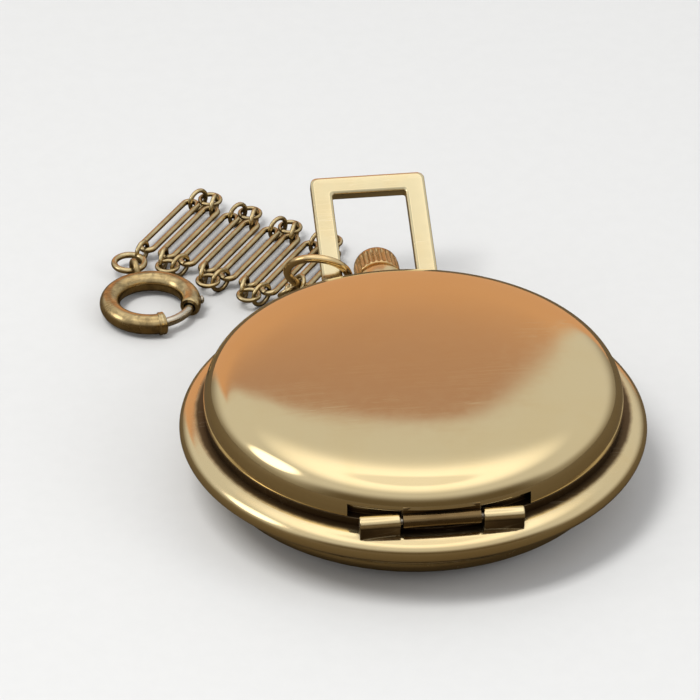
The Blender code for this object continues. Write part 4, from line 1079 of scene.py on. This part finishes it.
# Collar round one end of the tube: (share of the way, outer radius)
COLLAR_ROWS = [(0.0, 1.16), (0.06, 1.22), (0.3, 1.25), (0.5, 1.2), (0.62, 1.25), (0.9, 1.24),
               (1.0, 1.12)]
collar = to_object("bolt_ring_collar", hollow_tube(
    GAP_MID - GAP_HALF - 9.0, 9.2, COLLAR_ROWS, BOLT_TUBE - 0.06), 50)
finish_piece(collar, metal["bolt_brass"], "bolt_ring", "chain_brass")

# Eye between the jump ring and the tube.
eye_mid = (third - (EYE_WIRE + GAP) * turned + eye_far) / 2
eye = to_object("bolt_ring_eye", round_ring(
    eye_mid, UP.cross(turned).normalized(), EYE_R, EYE_WIRE, 56, 16), 60)
finish_piece(eye, metal["bolt_brass"], "bolt_ring", "chain_brass")

# Curved rod that closes the gap, tapered at both ends.
rod_start, rod_end = GAP_MID - GAP_HALF - 12.0, GAP_MID + GAP_HALF + 38.0
rod_path, rod_radii = [], []
for i in range(61):
    t = i / 60
    rod_path.append(bolt_at + BOLT_R * outward(rod_start + (rod_end - rod_start) * t))
    rod_radii.append(BOLT_ROD * (1 - max(0.0, 1 - min(t, 1 - t) * 60 / 3.0) ** 2 * 0.55))
rod = to_object("bolt_rod", wire(rod_path, UP, rod_radii, 20, closed=False), 50)
finish_piece(rod, metal["bolt_steel"], "bolt", "steel", "bolt_ring_bolt")

# Thumb nub standing out through the slot.
NUB_DEG = -1.0
nub_outline = soften([(0, 4.6), (0.2, 4.6), (0.2, 5.42, 0.05), (0.42, 5.46, 0.1),
                      (0.46, 5.62, 0.12), (0.30, 5.80, 0.15), (0, 5.84)], closed=False)
nub_turn = outward(NUB_DEG).to_track_quat("Z", "Y").to_matrix().to_4x4()
nub = to_object("bolt_thumb_nub", moved(
    lathe(nub_outline, 28), Matrix.Translation(bolt_at) @ nub_turn), 50)
finish_piece(nub, metal["bolt_steel"], "bolt", "steel")

# ---------------------------------------------------------------------- movement
# These nodes keep their own shapes and only get materials.
BRASS, BRASS_DEEP = (0.74, 0.56, 0.26), (0.20, 0.11, 0.035)
STEEL, STEEL_DEEP = (0.62, 0.62, 0.61), (0.10, 0.095, 0.09)
NICKEL, NICKEL_DEEP = (0.73, 0.71, 0.67), (0.16, 0.14, 0.12)


def middle(node):
    """Centre of a node in x and y, in mm."""
    lo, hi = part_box(node)
    return ((lo.x + hi.x) * 500, (lo.y + hi.y) * 500)


for node in ("barrel", "center_wheel", "third_wheel", "fourth_wheel", "minute_wheel",
             "hour_wheel", "balance_wheel"):
    dress(frame["nodes"][node], cut_metal(
        node + "_brass", BRASS, BRASS_DEEP, middle(node), rough=0.24, relief=0.004, rings=4.0))
for node in ("main_plate", "barrel_bridge", "train_bridge", "balance_cock", "pallet_bridge"):
    dress(frame["nodes"][node], cut_metal(
        node + "_nickel", NICKEL, NICKEL_DEEP, (0, 0), rough=0.20, relief=0.02, stripes=1.7))
for node in ("ratchet_wheel", "crown_wheel", "barrel_arbor", "winding_pinion", "click",
             "escape_wheel", "pallet_fork", "cannon_pinion", "regulator", "winding_stem",
             "lid_lift_spring", "lid_catch", "mainspring"):
    dress(frame["nodes"][node], cut_metal(
        node + "_steel", STEEL, STEEL_DEEP, middle(node), rough=0.16, relief=0.003, rings=7.0))
dress(frame["nodes"]["hairspring"], blued)
dress(frame["nodes"]["crown_gasket"], gasket)


# ---------------------------------------------------------------------- stage, in metres
def studio_world():
    """A pale room painted by direction: x, y and z are those of the ray."""
    world = bpy.data.worlds.new("studio")
    bpy.context.scene.world = world
    w = Nodes(world)
    direction = w.add("ShaderNodeTexCoord").outputs["Generated"]
    x, y, z = w.split(direction)

    def times(a, b):
        return w.add("ShaderNodeMath", a, b, operation="MULTIPLY").outputs[0]

    def lean(slope):
        return w.add("ShaderNodeMath", z, slope, x, operation="MULTIPLY_ADD").outputs[0]

    # dim near the horizon, a soft bright ceiling
    room = w.mix(w.span(z, low=0.0, high=0.42), (0.30, 0.27, 0.22), (0.72, 0.715, 0.70))
    room = w.mix(w.span(z, low=0.70, high=0.93), room, (1.45, 1.42, 1.36))
    room = w.mix(w.span(z, low=0.950, high=0.975), room, (1.08, 1.06, 1.02))
    # a soft lamp at the left puts a streak on the lid's shoulder and a glint on each link
    lamp_way = Vector((-0.86, 0.03, 0.50)).normalized()
    dot = w.add("ShaderNodeVectorMath", direction, lamp_way, operation="DOT_PRODUCT")
    room = w.mix(w.span(dot.outputs["Value"], low=0.955, high=0.985), room, (2.6, 2.5, 2.35))
    # behind the camera the room is darker, so that the near side of the case has depth
    dark = times(w.span(y, low=-0.25, high=-0.75), w.span(z, low=0.62, high=0.15))
    room = w.mix(dark, room, (0.13, 0.10, 0.06))
    # a warm card with slanting sides stands behind the watch
    depth = times(w.span(y, low=0.30, high=0.42), w.span(z, low=0.612, high=0.600))
    left = times(w.span(lean(-4.0), low=-2.52, high=-2.34), w.span(x, low=-0.50, high=-0.38))
    card = times(depth, times(left, w.span(lean(0.7), low=0.585, high=0.550)))
    tone = w.mix(w.span(z, low=0.42, high=0.59), (0.74, 0.43, 0.26), (0.50, 0.31, 0.235))
    room = w.mix(card, room, tone)
    # what the camera sees directly past the floor stays plain and pale, as does diffuse light
    path = w.add("ShaderNodeLightPath").outputs
    room = w.mix(path["Is Camera Ray"], room, (0.78, 0.79, 0.80))
    room = w.mix(path["Is Diffuse Ray"], room, (0.66, 0.66, 0.66))
    back = w.add("ShaderNodeBackground", sockets={"Color": room, "Strength": 1.0})
    w.add("ShaderNodeOutputWorld", back.outputs[0])


def pale_floor():
    """A wide pale floor that looks dark brown in reflections."""
    shape = bmesh.new()
    bmesh.ops.create_grid(shape, x_segments=2, y_segments=2, size=1500.0)
    floor = to_object("floor", shape)
    floor.location.z = -0.00002
    m = Look("floor_pale")
    grain = m.noise(m.co, scale=0.5, detail=4.0, rough=0.6)
    tone = m.mix(m.span(grain, low=0.3, high=0.7), (0.668, 0.673, 0.678), (0.678, 0.683, 0.688))
    glossy = m.add("ShaderNodeLightPath").outputs["Is Glossy Ray"]
    m.done(m.mix(glossy, tone, (0.10, 0.075, 0.042)), 0.75,
           m.bumped(grain, strength=0.05, distance=0.02), metallic=0.0, Specular_IOR_Level=0.2)
    floor.data.materials.append(m.mat)
    return floor


def keep_clear(floor):
    """The floor sinks below any hanging piece that comes lower, and stays put otherwise."""
    loose = ["bow", "bow_ring", "bolt_ring"]
    loose += [n for n in sorted(frame["nodes"]) if n.startswith(("fetter_", "chain_rings_"))]
    for name in loose:
        node = frame["nodes"][name]
        for i, corner in enumerate(node.bound_box):
            probe = bpy.data.objects.new(f"hang_{name}_{i}", None)
            bpy.context.scene.collection.objects.link(probe)
            probe.empty_display_size = 0.0002
            probe.parent = node.parent
            probe.location = Vector(corner)
            stop = floor.constraints.new("FLOOR")
            stop.target = probe
            stop.floor_location = "FLOOR_NEGATIVE_Z"


def softbox(name, at, size, power, colour):
    """An area light aimed at the watch, unseen in reflections."""
    data = bpy.data.lights.new(name, "AREA")
    data.shape, data.size, data.size_y = "RECTANGLE", size[0], size[1]
    data.energy, data.color = power, colour
    lamp = bpy.data.objects.new(name, data)
    lamp.visible_glossy = False
    bpy.context.scene.collection.objects.link(lamp)
    lamp.location = at
    aim = Vector((0, 0.01, 0)) - Vector(at)
    lamp.rotation_euler = aim.to_track_quat("-Z", "Y").to_euler()


def set_camera(target, azimuth, elevation, distance):
    """A long lens; azimuth is measured from -Y toward +X."""
    data = bpy.data.cameras.new("camera")
    camera = bpy.data.objects.new("camera", data)
    bpy.context.scene.collection.objects.link(camera)
    bpy.context.scene.camera = camera
    back_off = Vector((math.sin(azimuth) * math.cos(elevation),
                       -math.cos(azimuth) * math.cos(elevation), math.sin(elevation)))
    camera.location = Vector(target) + back_off * distance
    camera.rotation_euler = (-back_off).to_track_quat("-Z", "Y").to_euler()
    data.lens, data.sensor_width = 260.0, 36.0
    data.clip_start, data.clip_end = 0.01, 20.0


studio_world()
keep_clear(pale_floor())
softbox("key", at=(-0.22, -0.10, 0.55), size=(0.16, 0.30), power=2.2, colour=(1.0, 0.985, 0.95))
softbox("fill", at=(0.45, -0.25, 0.35), size=(0.30, 0.30), power=0.7, colour=(0.97, 0.985, 1.0))
set_camera(target=(-0.0045, 0.0165, 0.005), azimuth=math.radians(-7.0),
           elevation=math.radians(33.0), distance=0.533)
bpy.context.scene.view_settings.view_transform = "Standard"
bpy.context.scene.view_settings.look = "None"
